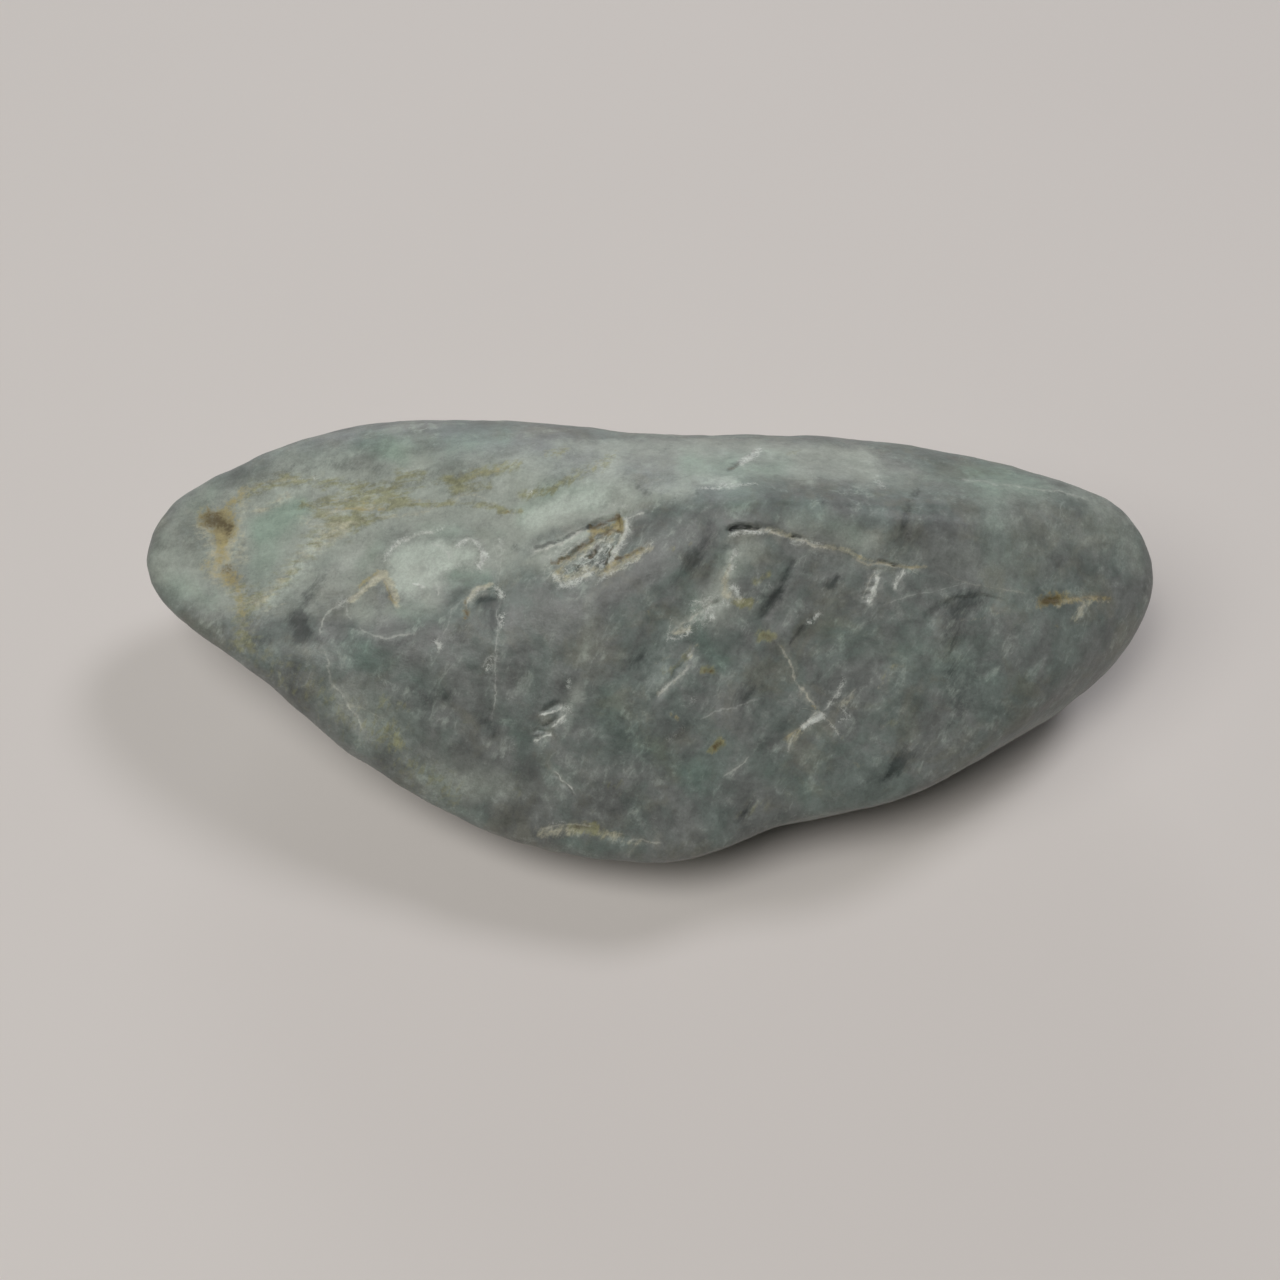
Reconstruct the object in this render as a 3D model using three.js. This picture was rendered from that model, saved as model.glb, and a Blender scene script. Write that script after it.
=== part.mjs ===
// A jadeite beach pebble: a block that broke off along flat faces and was then worn round by the surf.
// Millimetres. +X runs along the stone to its right end, +Y to its back, +Z up.
// The origin is on the surface that the stone rests on, under the middle of its box.
import * as THREE from 'three';

// Each face of the block that broke off: the way it faces, as an azimuth (0 along +X, 90 along +Y) and
// an elevation above level in degrees, and its reach in mm from the core, a point inside the stone.
const FACES = [
  { name: 'front face', azimuth: -82, elevation: 54, reach: 6.4 },
  { name: 'left front face', azimuth: -103, elevation: 48, reach: 7.2 },
  { name: 'left top', azimuth: -150, elevation: 75, reach: 8.1 },
  { name: 'left back band', azimuth: 100, elevation: 67, reach: 10.6 },
  { name: 'right back band', azimuth: 79, elevation: 56, reach: 11.1 },
  { name: 'right end top', azimuth: -40, elevation: 60, reach: 12.6 },
  { name: 'upper back wall', azimuth: 88, elevation: 24, reach: 13.6 },
  { name: 'lower back wall', azimuth: 92, elevation: -20, reach: 13.5 },
  { name: 'left back wall', azimuth: 113, elevation: 14, reach: 20.3 },
  { name: 'left lower back wall', azimuth: 112, elevation: -18, reach: 19 },
  { name: 'right lower back wall', azimuth: 60, elevation: -18, reach: 19.5 },
  { name: 'left rear corner', azimuth: 143, elevation: 18, reach: 31.8 },
  { name: 'left rear tip', azimuth: 162, elevation: 9, reach: 34.5 },
  { name: 'left tip', azimuth: -176, elevation: -2, reach: 32.5 },
  { name: 'left end over', azimuth: 178, elevation: 36, reach: 27 },
  { name: 'left end under', azimuth: 178, elevation: -40, reach: 24.5 },
  { name: 'right rear edge', azimuth: 73, elevation: 27, reach: 18 },
  { name: 'right rear corner', azimuth: 46, elevation: 21, reach: 28 },
  { name: 'right rear tip', azimuth: 22, elevation: 11, reach: 34.5 },
  { name: 'right tip', azimuth: 0, elevation: 0, reach: 31.8 },
  { name: 'right end over', azimuth: 8, elevation: 36, reach: 28.5 },
  { name: 'right end under', azimuth: 0, elevation: -40, reach: 25.5 },
  { name: 'right front tip', azimuth: -18, elevation: -9, reach: 34 },
  { name: 'right front corner', azimuth: -37, elevation: -18, reach: 24.3 },
  { name: 'left front edge', azimuth: -129, elevation: -22, reach: 15.8 },
  { name: 'front edge, left part', azimuth: -112, elevation: -26, reach: 14.1 },
  { name: 'front edge', azimuth: -95, elevation: -28, reach: 13.2 },
  { name: 'front edge, right part', azimuth: -70, elevation: -27, reach: 13.3 },
  { name: 'right front edge', azimuth: -53, elevation: -23, reach: 17.6 },
  { name: 'left front nose', azimuth: -122, elevation: 14, reach: 16.2 },
  { name: 'front nose', azimuth: -88, elevation: 14, reach: 13.4 },
  { name: 'right front nose', azimuth: -52, elevation: 14, reach: 17.6 },
  { name: 'belly', azimuth: 0, elevation: -90, reach: 9.6 },
  { name: 'back belly', azimuth: 90, elevation: -52, reach: 11.2 },
  { name: 'front belly', azimuth: -90, elevation: -57, reach: 11.2 },
  { name: 'left belly', azimuth: 180, elevation: -75, reach: 11.6 },
  { name: 'right belly', azimuth: 0, elevation: -78, reach: 11.4 },
];
const SHARPNESS = 20; // higher keeps the edges between the faces crisper; the surf has rounded them

// Shallow hollows: where each is centred from the core, how far it spreads, and how deep it is, in mm.
const HOLLOWS = [
  { name: 'right front hollow', centre: [9, -14, -2], spread: [4.5, 5, 5], depth: 1 },
  { name: 'left front hollow', centre: [-24.5, -2, -2], spread: [5.5, 5, 5], depth: 1.1 },
  { name: 'back waist', centre: [0, 12, 4], spread: [6, 5, 5], depth: 0.5 },
];
const REST_BELOW_CORE = 9; // the underside is worn flat here, and that flat is what the stone rests on

// The skin's points lie along a net of directions from the core. The net is drawn out to the stone's
// own proportions, so that the points lie evenly; it sets where the points are, and not the shape.
const NET = { length: 60, depth: 28, height: 20 };
const AROUND = 60; // points round the stone
const RINGS = 40; // rings between its two ends

// A unit vector from an azimuth and an elevation in degrees.
function direction(azimuth, elevation) {
  const level = THREE.MathUtils.degToRad(azimuth);
  const raised = THREE.MathUtils.degToRad(elevation);
  return new THREE.Vector3(
    Math.cos(level) * Math.cos(raised),
    Math.sin(level) * Math.cos(raised),
    Math.sin(raised),
  );
}

const planes = FACES.map(({ azimuth, elevation, reach }) => ({
  normal: direction(azimuth, elevation),
  reach,
}));

// How much deeper the hollows bring the surface at a point, in mm.
function hollowDepth(point) {
  let depth = 0;
  for (const hollow of HOLLOWS) {
    const across = point.toArray().map((value, k) => (value - hollow.centre[k]) / hollow.spread[k]);
    depth += hollow.depth * Math.exp(-across.reduce((sum, value) => sum + value * value, 0));
  }
  return depth;
}

// The surface point in the given direction from the core. A plane's share is how much of its reach
// the direction uses, and adding up high powers of the shares keeps the nearest plane and rounds
// the edge where two are near. The hollows then draw the point in, and the rest level cuts it off.
function surfacePoint(towards) {
  let worn = 0;
  for (const { normal, reach } of planes) {
    const share = Math.max(0, towards.dot(normal) / reach);
    worn += share ** SHARPNESS;
  }
  const point = towards.clone().multiplyScalar(worn ** (-1 / SHARPNESS));
  point.multiplyScalar(1 - hollowDepth(point) / point.length());
  point.z = Math.max(point.z, -REST_BELOW_CORE);
  return point;
}

// The direction at a turn round the stone and a station from its left end (0) to its right end (1).
function netDirection(turn, station) {
  const round = turn * 2 * Math.PI;
  const along = (station - 0.5) * Math.PI;
  return new THREE.Vector3(
    (NET.length / 2) * Math.sin(along),
    (NET.depth / 2) * Math.cos(along) * Math.cos(round),
    (NET.height / 2) * Math.cos(along) * Math.sin(round),
  );
}

// The closed skin: a point at each end, and rings of points between them.
function stoneGeometry() {
  const points = [surfacePoint(netDirection(0, 0))];
  for (let ring = 1; ring <= RINGS; ring += 1) {
    for (let step = 0; step < AROUND; step += 1) {
      points.push(surfacePoint(netDirection(step / AROUND, ring / (RINGS + 1))));
    }
  }
  points.push(surfacePoint(netDirection(0, 1)));

  const at = (ring, step) => 1 + (ring - 1) * AROUND + (step % AROUND);
  const last = points.length - 1;
  const index = [];
  for (let step = 0; step < AROUND; step += 1) {
    index.push(0, at(1, step + 1), at(1, step));
    for (let ring = 1; ring < RINGS; ring += 1) {
      index.push(at(ring, step), at(ring + 1, step + 1), at(ring + 1, step));
      index.push(at(ring, step), at(ring, step + 1), at(ring + 1, step + 1));
    }
    index.push(last, at(RINGS, step), at(RINGS, step + 1));
  }

  const geometry = new THREE.BufferGeometry().setFromPoints(points);
  geometry.setIndex(index);
  standOnOrigin(geometry);
  geometry.computeVertexNormals();
  return geometry;
}

// Moves the stone so that the middle of its box is over the origin and its flat is at z = 0.
function standOnOrigin(geometry) {
  geometry.computeBoundingBox();
  const box = geometry.boundingBox;
  const middle = box.getCenter(new THREE.Vector3());
  geometry.translate(-middle.x, -middle.y, -box.min.z);
}

const jadeite = new THREE.MeshStandardMaterial({ color: 0x76827a, roughness: 0.5, metalness: 0 });

const pebble = new THREE.Mesh(stoneGeometry(), jadeite);
pebble.name = 'pebble';

const object = new THREE.Group();
object.add(pebble);

export default object;
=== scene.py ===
"""A jadeite pebble, worn smooth by surf: one grey-green stone with a chipped crest, an open crack whose seam
is rusty, white healed fractures, and clouds and stains in the jade."""

import math

import bpy
import numpy as np
from mathutils import Matrix, Vector


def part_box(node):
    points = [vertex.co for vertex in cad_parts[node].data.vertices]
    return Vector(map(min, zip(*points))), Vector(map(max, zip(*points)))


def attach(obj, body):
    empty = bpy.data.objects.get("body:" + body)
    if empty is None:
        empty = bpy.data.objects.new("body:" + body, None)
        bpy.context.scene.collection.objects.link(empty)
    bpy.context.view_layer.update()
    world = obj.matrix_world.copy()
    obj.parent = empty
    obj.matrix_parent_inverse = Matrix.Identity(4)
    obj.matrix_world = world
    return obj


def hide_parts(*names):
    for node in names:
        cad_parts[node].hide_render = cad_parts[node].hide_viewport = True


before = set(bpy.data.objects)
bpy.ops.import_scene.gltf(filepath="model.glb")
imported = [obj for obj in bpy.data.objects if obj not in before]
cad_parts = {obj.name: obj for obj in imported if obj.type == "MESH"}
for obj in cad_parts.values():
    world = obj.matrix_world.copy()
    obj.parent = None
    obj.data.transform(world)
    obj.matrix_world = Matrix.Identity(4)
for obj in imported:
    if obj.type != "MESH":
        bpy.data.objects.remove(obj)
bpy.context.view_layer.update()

MM = 0.001

# The grid on the stone: rings from tip to tip, and points around each ring.
RINGS = 300
AROUND = 330
# Where the grid is closer, in degrees. Around the stone, 0 is its back and 90 its top: the middle of the
# upper side, and the chipped crest. Along it, 0 is its middle: the stretch from the chip to the open crack.
UPPER_SIDE = 112
CREST = 83
CREST_SPREAD = 13
MARKED_STRETCH = -1
MARKED_SPREAD = 17
# How much each of them adds to the density, and the cosines that the upper side's edge lies between.
UPPER_GAIN = 2.0
CREST_GAIN = 3.0
MARKED_GAIN = 0.9
UPPER_EDGE = (-0.3, 0.3)
# Half the length and height of the ellipse that stands for the stone's long profile, in mm.
PROFILE = (30.0, 12.0)
SPACING_STEPS = 4000

# The stone's driving sizes, in mm, measured from a core in its middle.
NET_REACH = (30.0, 14.0, 10.0)
EDGE_SHARPNESS = 20.0
REST_BELOW_CORE = 9.0

# Each worn face: the azimuth and elevation that it looks towards, and its distance from the core in mm.
FACES = {
    "front face": (-82, 54, 6.4),
    "left front face": (-103, 48, 7.2),
    "left top": (-150, 75, 8.1),
    "left back band": (100, 67, 10.6),
    "right back band": (79, 56, 11.1),
    "right end top": (-40, 60, 12.6),
    "upper back wall": (88, 24, 13.6),
    "lower back wall": (92, -20, 13.5),
    "left back wall": (113, 14, 20.3),
    "left lower back wall": (112, -18, 19.0),
    "right lower back wall": (60, -18, 19.5),
    "left rear corner": (143, 18, 31.8),
    "left rear tip": (162, 9, 34.5),
    "left tip": (-176, -2, 32.5),
    "left end, over": (178, 36, 27.0),
    "left end, under": (178, -40, 24.5),
    "right rear edge": (73, 27, 18.0),
    "right rear corner": (46, 21, 28.0),
    "right rear tip": (22, 11, 34.5),
    "right tip": (0, 0, 31.8),
    "right end, over": (8, 36, 28.5),
    "right end, under": (0, -40, 25.5),
    "right front tip": (-18, -9, 34.0),
    "right front corner": (-37, -18, 24.3),
    "left front edge": (-129, -22, 15.8),
    "front edge, left part": (-112, -26, 14.1),
    "front edge": (-95, -28, 13.2),
    "front edge, right part": (-70, -27, 13.3),
    "right front edge": (-53, -23, 17.6),
    "left front nose": (-122, 14, 16.2),
    "front nose": (-88, 14, 13.4),
    "right front nose": (-52, 14, 17.6),
    "belly": (0, -90, 9.6),
    "back belly": (90, -52, 11.2),
    "front belly": (-90, -57, 11.2),
    "left belly": (180, -75, 11.6),
    "right belly": (0, -78, 11.4),
}

# Each shallow hollow: its centre and its spread along X, Y and Z, and its depth, in mm from the core.
HOLLOWS = {
    "right front hollow": ((9.0, -14.0, -2.0), (4.5, 5.0, 5.0), 1.0),
    "left front hollow": ((-24.5, -2.0, -2.0), (5.5, 5.0, 5.0), 1.1),
    "back waist": ((0.0, 12.0, 4.0), (6.0, 5.0, 5.0), 0.5),
}


def smooth_step(value, low, high):
    """0 below low, 1 above high, and an even S between them."""
    t = np.clip((value - low) / (high - low), 0.0, 1.0)
    return t * t * (3.0 - 2.0 * t)


def unit(azimuth, elevation):
    """The direction that looks towards an azimuth, from +X towards +Y, and an elevation above the floor."""
    a = math.radians(azimuth)
    e = math.radians(elevation)
    return np.array([math.cos(a) * math.cos(e), math.sin(a) * math.cos(e), math.sin(e)])


def worn_stone(around, along):
    """A worn many-faced block. A ray leaves the core along (30 sin along, 14 cos along cos around, 10 cos
    along sin around). A face's share is how far that vector goes towards the face, over the face's distance.
    The ray is cut at the vector over the 20th root of the sum of shares^20, which rounds the edges between
    faces. Each hollow pulls the point in by depth x exp(-distance^2), and nothing lies below the resting
    plane."""
    ray = np.stack([
        NET_REACH[0] * np.sin(along),
        NET_REACH[1] * np.cos(along) * np.cos(around),
        NET_REACH[2] * np.cos(along) * np.sin(around),
    ], axis=-1)
    shares = sum(
        np.maximum(0.0, ray @ unit(azimuth, elevation) / distance) ** EDGE_SHARPNESS
        for azimuth, elevation, distance in FACES.values()
    )
    point = ray / (shares ** (1.0 / EDGE_SHARPNESS))[..., None]
    pull = sum(
        depth * np.exp(-(((point - np.array(centre)) / np.array(spread)) ** 2).sum(-1))
        for centre, spread, depth in HOLLOWS.values()
    )
    point = point * (1.0 - pull / np.linalg.norm(point, axis=-1))[..., None]
    point[..., 2] = np.maximum(point[..., 2], -REST_BELOW_CORE)
    return point


def spaced(start, end, count, density):
    """count values from start to end, closer together where density(value) is higher."""
    fine = np.linspace(start, end, SPACING_STEPS + 1)
    total = np.concatenate([[0.0], np.cumsum(density(0.5 * (fine[1:] + fine[:-1])))])
    return np.interp(np.linspace(0.0, total[-1], count), total, fine)


def around_density(angle):
    """The front and top get three times as many points as the base, and the chipped crest six times."""
    upper = smooth_step(np.cos(angle - math.radians(UPPER_SIDE)), *UPPER_EDGE)
    crest = np.exp(-((angle - math.radians(CREST)) / math.radians(CREST_SPREAD)) ** 2)
    return 1.0 + UPPER_GAIN * upper + CREST_GAIN * crest


def along_density(angle):
    """Even steps along the stone's elliptical long profile, and closer ones from the chip to the crack."""
    even = np.hypot(PROFILE[0] * np.cos(angle), PROFILE[1] * np.sin(angle))
    marked = np.exp(-((angle - math.radians(MARKED_STRETCH)) / math.radians(MARKED_SPREAD)) ** 4)
    return even * (1.0 + MARKED_GAIN * marked)


def fit_to_box(points, low, high):
    """Moves and scales points, axis by axis, so that their box is the one from low to high."""
    flat = points.reshape(-1, 3)
    here_low = flat.min(0)
    here_high = flat.max(0)
    return low + (points - here_low) * (high - low) / (here_high - here_low)


def grid_normals(points):
    """Outward normals of the grid, from the steps to its neighbours around and along."""
    step_around = np.roll(points, -1, axis=0) - np.roll(points, 1, axis=0)
    step_along = np.gradient(points, axis=1)
    normals = np.cross(step_along, step_around)
    normals /= np.maximum(np.linalg.norm(normals, axis=-1, keepdims=True), 1e-9)
    outwards = (normals * (points - points.reshape(-1, 3).mean(0))).sum()
    return normals if outwards > 0 else -normals


# The lattice of random numbers behind the clouds repeats after this many steps, and the gain brings the
# blended values to about -1 to 1.
LATTICE = 32
CLOUD_GAIN = 1.8


def clouds(points, size, seed, octaves=3, roughness=0.5):
    """Smooth random values from about -1 to 1. Random numbers sit on a cubic lattice whose step is size, in
    mm, and are blended between the lattice points with an even S. Each further octave is half as coarse and
    is added more weakly, by roughness."""
    rng = np.random.default_rng(seed)
    total = 0.0
    weight = 1.0
    full = 0.0
    for octave in range(octaves):
        lattice = rng.uniform(-1.0, 1.0, (LATTICE, LATTICE, LATTICE))
        place = points * (2.0 ** octave / size) + rng.uniform(0.0, LATTICE, 3)
        corner = np.floor(place).astype(int)
        t = place - corner
        t = t * t * t * (t * (t * 6.0 - 15.0) + 10.0)
        value = 0.0
        for step in np.ndindex(2, 2, 2):
            share = np.where(np.array(step) == 1, t, 1.0 - t).prod(-1)
            cell = (corner + np.array(step)) % LATTICE
            value = value + share * lattice[cell[..., 0], cell[..., 1], cell[..., 2]]
        total = total + weight * value
        full += weight
        weight *= roughness
    return CLOUD_GAIN * total / full


# ---- Drawings: flat sheets in mm, each held in front of one side of the stone and projected on to it ----

# The sheets' middle, and how far in front of it their lines of projection meet.
DRAWING_MIDDLE = np.array([0.0, 0.0, 9.0])
DRAWING_REACH = 120.0
# How far a place strays, in a slow wave and a fine tremble, and how long each is, in mm. The tremble's seeds
# are this far past the wave's.
WAVE = 0.09
WAVE_LENGTH = 1.1
TREMBLE = 0.045
TREMBLE_LENGTH = 0.3
TREMBLE_SEEDS = 40
RIGHT_SEED = 21
UP_SEED = 22
# How far the stone's normal leans towards a sheet where the sheet starts to mark it and marks it fully.
FACING = (0.02, 0.2)
# Each sheet's right, and its way out from the stone.
SIDES = {
    "front": ((1.0, 0.0, 0.0), unit(-90, 62)),
    "back": ((-1.0, 0.0, 0.0), unit(90, 8)),
    "base": ((1.0, 0.0, 0.0), unit(0, -90)),
}


class Drawing:
    """Places on one side's sheet. Lines of projection meet at a point 120 mm in front of the stone's middle,
    so a place is (right, up) x 120 / (120 - height), and seen says how squarely that side of the stone faces
    the sheet. Each place strays a little, as clouds say, so that no drawn line runs straight."""

    def __init__(self, side, points, normals):
        right, out = (np.array(v) for v in SIDES[side])
        up = np.cross(out, right)
        away = points - DRAWING_MIDDLE
        grow = DRAWING_REACH / (DRAWING_REACH - away @ out)
        self.right = away @ right * grow + self.stray(points, RIGHT_SEED)
        self.up = away @ up * grow + self.stray(points, UP_SEED)
        self.seen = smooth_step(normals @ out, *FACING)

    def stray(self, points, seed):
        """How far the places stray, in mm: a slow wave and a fine tremble."""
        wave = WAVE * clouds(points, WAVE_LENGTH, seed, 3, 0.6)
        return wave + TREMBLE * clouds(points, TREMBLE_LENGTH, seed + TREMBLE_SEEDS, 2)

    def path(self, places):
        """Distance from a path, signed by its side (positive to the left as it is followed), and the share of
        the path's length at the nearest point."""
        corners = np.array(places, float)
        steps = np.diff(corners, axis=0)
        lengths = np.hypot(steps[:, 0], steps[:, 1])
        starts = np.concatenate([[0.0], np.cumsum(lengths)])
        nearest = np.full(self.right.shape, 1e9)
        share = np.zeros(self.right.shape)
        for corner, step, length, start in zip(corners, steps, lengths, starts):
            x = self.right - corner[0]
            y = self.up - corner[1]
            t = np.clip((x * step[0] + y * step[1]) / length ** 2, 0.0, 1.0)
            gap = np.hypot(x - t * step[0], y - t * step[1])
            side = np.where(step[0] * y - step[1] * x >= 0.0, 1.0, -1.0)
            closer = gap < np.abs(nearest)
            nearest = np.where(closer, gap * side, nearest)
            share = np.where(closer, (start + t * length) / starts[-1], share)
        return nearest, share


# ---- Relief: what water, knocks and splitting have done to the stone's face, in mm on the front drawing ----

# A ledge: how far the stone drops at its line, how far below the line it has risen again, and the line
# itself, followed from left to right with the drop on its lower side.
LEDGES = {
    "chip, top edge, left part": (0.12, 0.6, [(-7.4, 4.7), (-6.8, 5.1), (-6.0, 5.5), (-5.2, 5.7),
        (-4.6, 6.1), (-3.8, 6.5)]),
    "chip, top edge, right part": (0.28, 1.0, [(-4.0, 6.4), (-3.6, 6.6), (-2.8, 7.0), (-2.4, 7.2),
        (-1.8, 7.5), (-1.4, 7.6)]),
    "chip, second step": (0.18, 0.5, [(-6.0, 4.2), (-5.5, 4.5), (-4.9, 4.8), (-4.5, 5.1), (-4.2, 5.5),
        (-3.6, 5.8), (-2.7, 6.1), (-2.0, 6.6), (-1.7, 6.9)]),
    "chip, inner step": (0.15, 0.4, [(-4.0, 4.6), (-3.7, 4.9), (-3.2, 5.2), (-2.7, 5.4)]),
    "chip, lowest step": (0.12, 0.4, [(-4.8, 4.2), (-4.3, 4.0), (-3.8, 3.9), (-3.3, 4.1)]),
    "chip, right strand": (0.18, 0.4, [(-2.5, 3.8), (-1.9, 4.3), (-1.4, 4.7), (-0.7, 5.1), (0.0, 5.5)]),
    "seam, upper lip": (0.09, 1.2, [(6.3, 6.5), (8.0, 6.0), (10.8, 5.2), (13.6, 4.3), (16.8, 4.0)]),
    "dent by the hook": (0.14, 0.8, [(-11.1, 2.1), (-10.4, 2.7), (-9.0, 2.8)]),
    "scale at the right": (0.12, 1.4, [(16.3, 0.5), (17.0, 1.6), (18.2, 2.2), (19.9, 2.5), (21.4, 2.1)]),
    "flake at the bottom": (0.12, 0.6, [(-7.0, -11.6), (-4.0, -11.4), (-1.5, -12.1), (0.6, -12.5)]),
    "step in the cream streak": (0.09, 0.7, [(0.0, -3.9), (1.2, -2.5), (2.7, -0.7)]),
    "step under the cream cluster": (0.08, 0.8, [(1.1, 0.6), (2.8, 1.4), (4.4, 2.2)]),
}

# A groove: half its width, its depth, and its line.
GROOVES = {
    "open crack": (0.085, 0.70, [(4.6, 6.3), (5.1, 6.4), (5.8, 6.4), (6.6, 6.3)]),
    "crack, where it closes": (0.09, 0.20, [(6.3, 6.6), (7.1, 6.3), (8.1, 6.0)]),
    "slit in the seam": (0.10, 0.30, [(8.4, 5.8), (9.3, 5.7)]),
    "slit at the fork": (0.10, 0.22, [(13.6, 4.3), (14.9, 4.1)]),
    "fork, left": (0.10, 0.16, [(13.8, 4.2), (13.2, 3.3), (12.9, 1.9)]),
    "chip, deep crack": (0.11, 0.18, [(-4.1, 4.5), (-3.6, 4.8), (-3.5, 5.2)]),
    "chip, crack by the ridge": (0.11, 0.16, [(-2.9, 4.1), (-2.6, 4.5), (-2.4, 4.9)]),
    "upright fracture": (0.10, 0.06, [(-9.0, 5.7), (-9.1, 3.3), (-9.2, -0.3), (-9.4, -3.3), (-9.6, -6.0)]),
    "scar, upper": (0.14, 0.16, [(-6.6, -4.7), (-6.0, -4.5), (-5.4, -4.1)]),
    "scar, middle": (0.12, 0.14, [(-6.5, -5.6), (-6.0, -5.4), (-5.5, -5.0)]),
    "scar, lower": (0.09, 0.10, [(-7.1, -5.9), (-6.6, -5.8), (-6.0, -5.9)]),
    "low cut": (0.09, 0.12, [(-6.0, -8.4), (-5.6, -8.6), (-5.4, -9.0), (-5.0, -9.2), (-4.8, -9.5),
        (-4.5, -9.9)]),
    "thin vein": (0.09, 0.04, [(7.5, -0.5), (8.7, -2.6), (9.8, -4.1), (10.3, -4.7)]),
    "crossing vein": (0.12, 0.07, [(8.7, -5.8), (9.5, -5.3), (10.4, -4.7)]),
    "rusty line by the right tip": (0.12, 0.08, [(23.4, 2.1), (25.2, 2.2), (27.7, 2.1)]),
}

# A scoop: its spread, its depth (below zero, it stands proud), and its middle line.
SCOOPS = {
    "chip": (1.2, 0.16, [(-5.4, 4.2), (-1.9, 6.2)]),
    "chip, ridge": (0.20, -0.16, [(-1.6, 6.9), (-1.5, 6.3), (-1.7, 5.7), (-2.1, 5.1), (-2.5, 4.4)]),
    "chip, spur": (0.15, -0.06, [(-1.5, 6.9), (-0.9, 7.2), (-0.3, 7.4)]),
    "chip, lower rim": (0.28, -0.12, [(-5.6, 3.0), (-5.0, 2.9), (-4.2, 3.4), (-3.5, 3.7)]),
    "rim round the pale patch": (0.35, -0.07, [(-11.7, 5.4), (-10.9, 5.7), (-10.1, 5.2), (-9.9, 4.3)]),
    "pale patch": (1.6, -0.12, [(-14.4, 4.3), (-11.2, 4.3)]),
    "dip left of the pale patch": (1.0, 0.16, [(-17.4, 4.6), (-18.4, 1.4)]),
    "rusty hollow by the left tip": (0.8, 0.12, [(-25.9, 6.6), (-25.4, 4.0)]),
    "dip by the upright fracture": (1.2, 0.12, [(-7.6, 1.6), (-7.4, -3.0)]),
    "scar": (0.8, 0.10, [(-6.3, -5.9), (-5.2, -4.4)]),
    "dip in the right front": (1.7, 0.16, [(7.4, -6.8), (12.6, -2.2)]),
    "long diagonal": (0.35, 0.07, [(16.1, 8.8), (15.5, 7.6), (15.1, 5.7)]),
    "diagonal over the fork": (0.35, 0.09, [(8.5, 4.2), (7.8, 2.5), (6.9, 1.1)]),
    "low diagonal, right": (0.35, 0.08, [(15.4, -6.8), (14.3, -8.6)]),
    "low diagonal, middle": (0.35, 0.08, [(6.4, -9.9), (5.4, -11.3)]),
    "dip beside the cream streak": (1.2, 0.10, [(-0.6, -2.4), (3.4, 2.8)]),
}

# The chip's middle line, how far from it the fresh break is whole and ends, and its splinters: their
# direction on the drawing in degrees, their length in widths, their width and height in mm, and their seed.
CHIP_MIDDLE = [(-5.3, 4.1), (-3.6, 4.7), (-2.3, 6.0)]
CHIP_REACH = (0.5, 1.4)
SPLINTER_TURN = 34
SPLINTER_STRETCH = 4.0
SPLINTER_WIDTH = 0.45
SPLINTER_DEPTH = 0.09
SPLINTER_SEED = 14

# The face's swells: height and length in mm, and seed.
SWELLS = ((0.13, 7.0, 11), (0.05, 2.4, 12), (0.022, 0.9, 13))

# The part of a path over which it fades at each end. Where a ledge's drop starts and ends, in mm below its
# line. Where a groove's floor ends and its rim begins, in half widths.
FADE = 0.12
LEDGE_DROP = (-0.03, 0.09)
GROOVE_WALL = (0.4, 1.3)

# The pits: how many, their seed, the range of their spreads in mm, and a depth in spreads with the range of
# the share of it that they have.
PITS = 110
PIT_SEED = 15
PIT_SPREAD = (0.18, 0.55)
PIT_DEPTH = 0.16
PIT_SHARE = (0.3, 1.0)


def ends_fade(share, length=FADE):
    """1 along a path, easing to 0 over the first and last part of it."""
    return smooth_step(share, 0.0, length) * smooth_step(1.0 - share, 0.0, length)


def ledges(drawing):
    """Each ledge drops at once on the lower side of its line, then climbs back along a straight ramp."""
    total = 0.0
    for depth, run, places in LEDGES.values():
        gap, share = drawing.path(places)
        ramp = np.clip(1.0 + gap / run, 0.0, 1.0)
        total = total + depth * smooth_step(-gap, *LEDGE_DROP) * ramp * ends_fade(share)
    return total * drawing.seen


def grooves(drawing):
    """Each groove is as deep across most of its width, with steep sides."""
    total = 0.0
    for half_width, depth, places in GROOVES.values():
        gap, share = drawing.path(places)
        floor, rim = (wall * half_width for wall in GROOVE_WALL)
        total = np.maximum(total, depth * (1.0 - smooth_step(np.abs(gap), floor, rim)) * ends_fade(share))
    return total * drawing.seen


def soft_lines(drawing, named):
    """Adds up, over lines of a spread and a strength, strength x exp(-(gap / spread)^2)."""
    total = 0.0
    for spread, strength, places in named.values():
        gap, _ = drawing.path(places)
        total = total + strength * np.exp(-(gap / spread) ** 2)
    return total * drawing.seen


def pits(points):
    """Small round dimples, depth x exp(-(distance / spread)^2), at random places from the grid's points."""
    rng = np.random.default_rng(PIT_SEED)
    flat = points.reshape(-1, 3)
    total = np.zeros(len(flat))
    for centre in flat[rng.integers(0, len(flat), PITS)]:
        spread = rng.uniform(*PIT_SPREAD)
        depth = PIT_DEPTH * spread * rng.uniform(*PIT_SHARE)
        total += depth * np.exp(-((flat - centre) ** 2).sum(-1) / spread ** 2)
    return total.reshape(points.shape[:-1])


def fresh_break(front):
    """1 inside the chip, easing to 0 around it."""
    gap, _ = front.path(CHIP_MIDDLE)
    return (1.0 - smooth_step(np.abs(gap), *CHIP_REACH)) * front.seen


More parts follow.
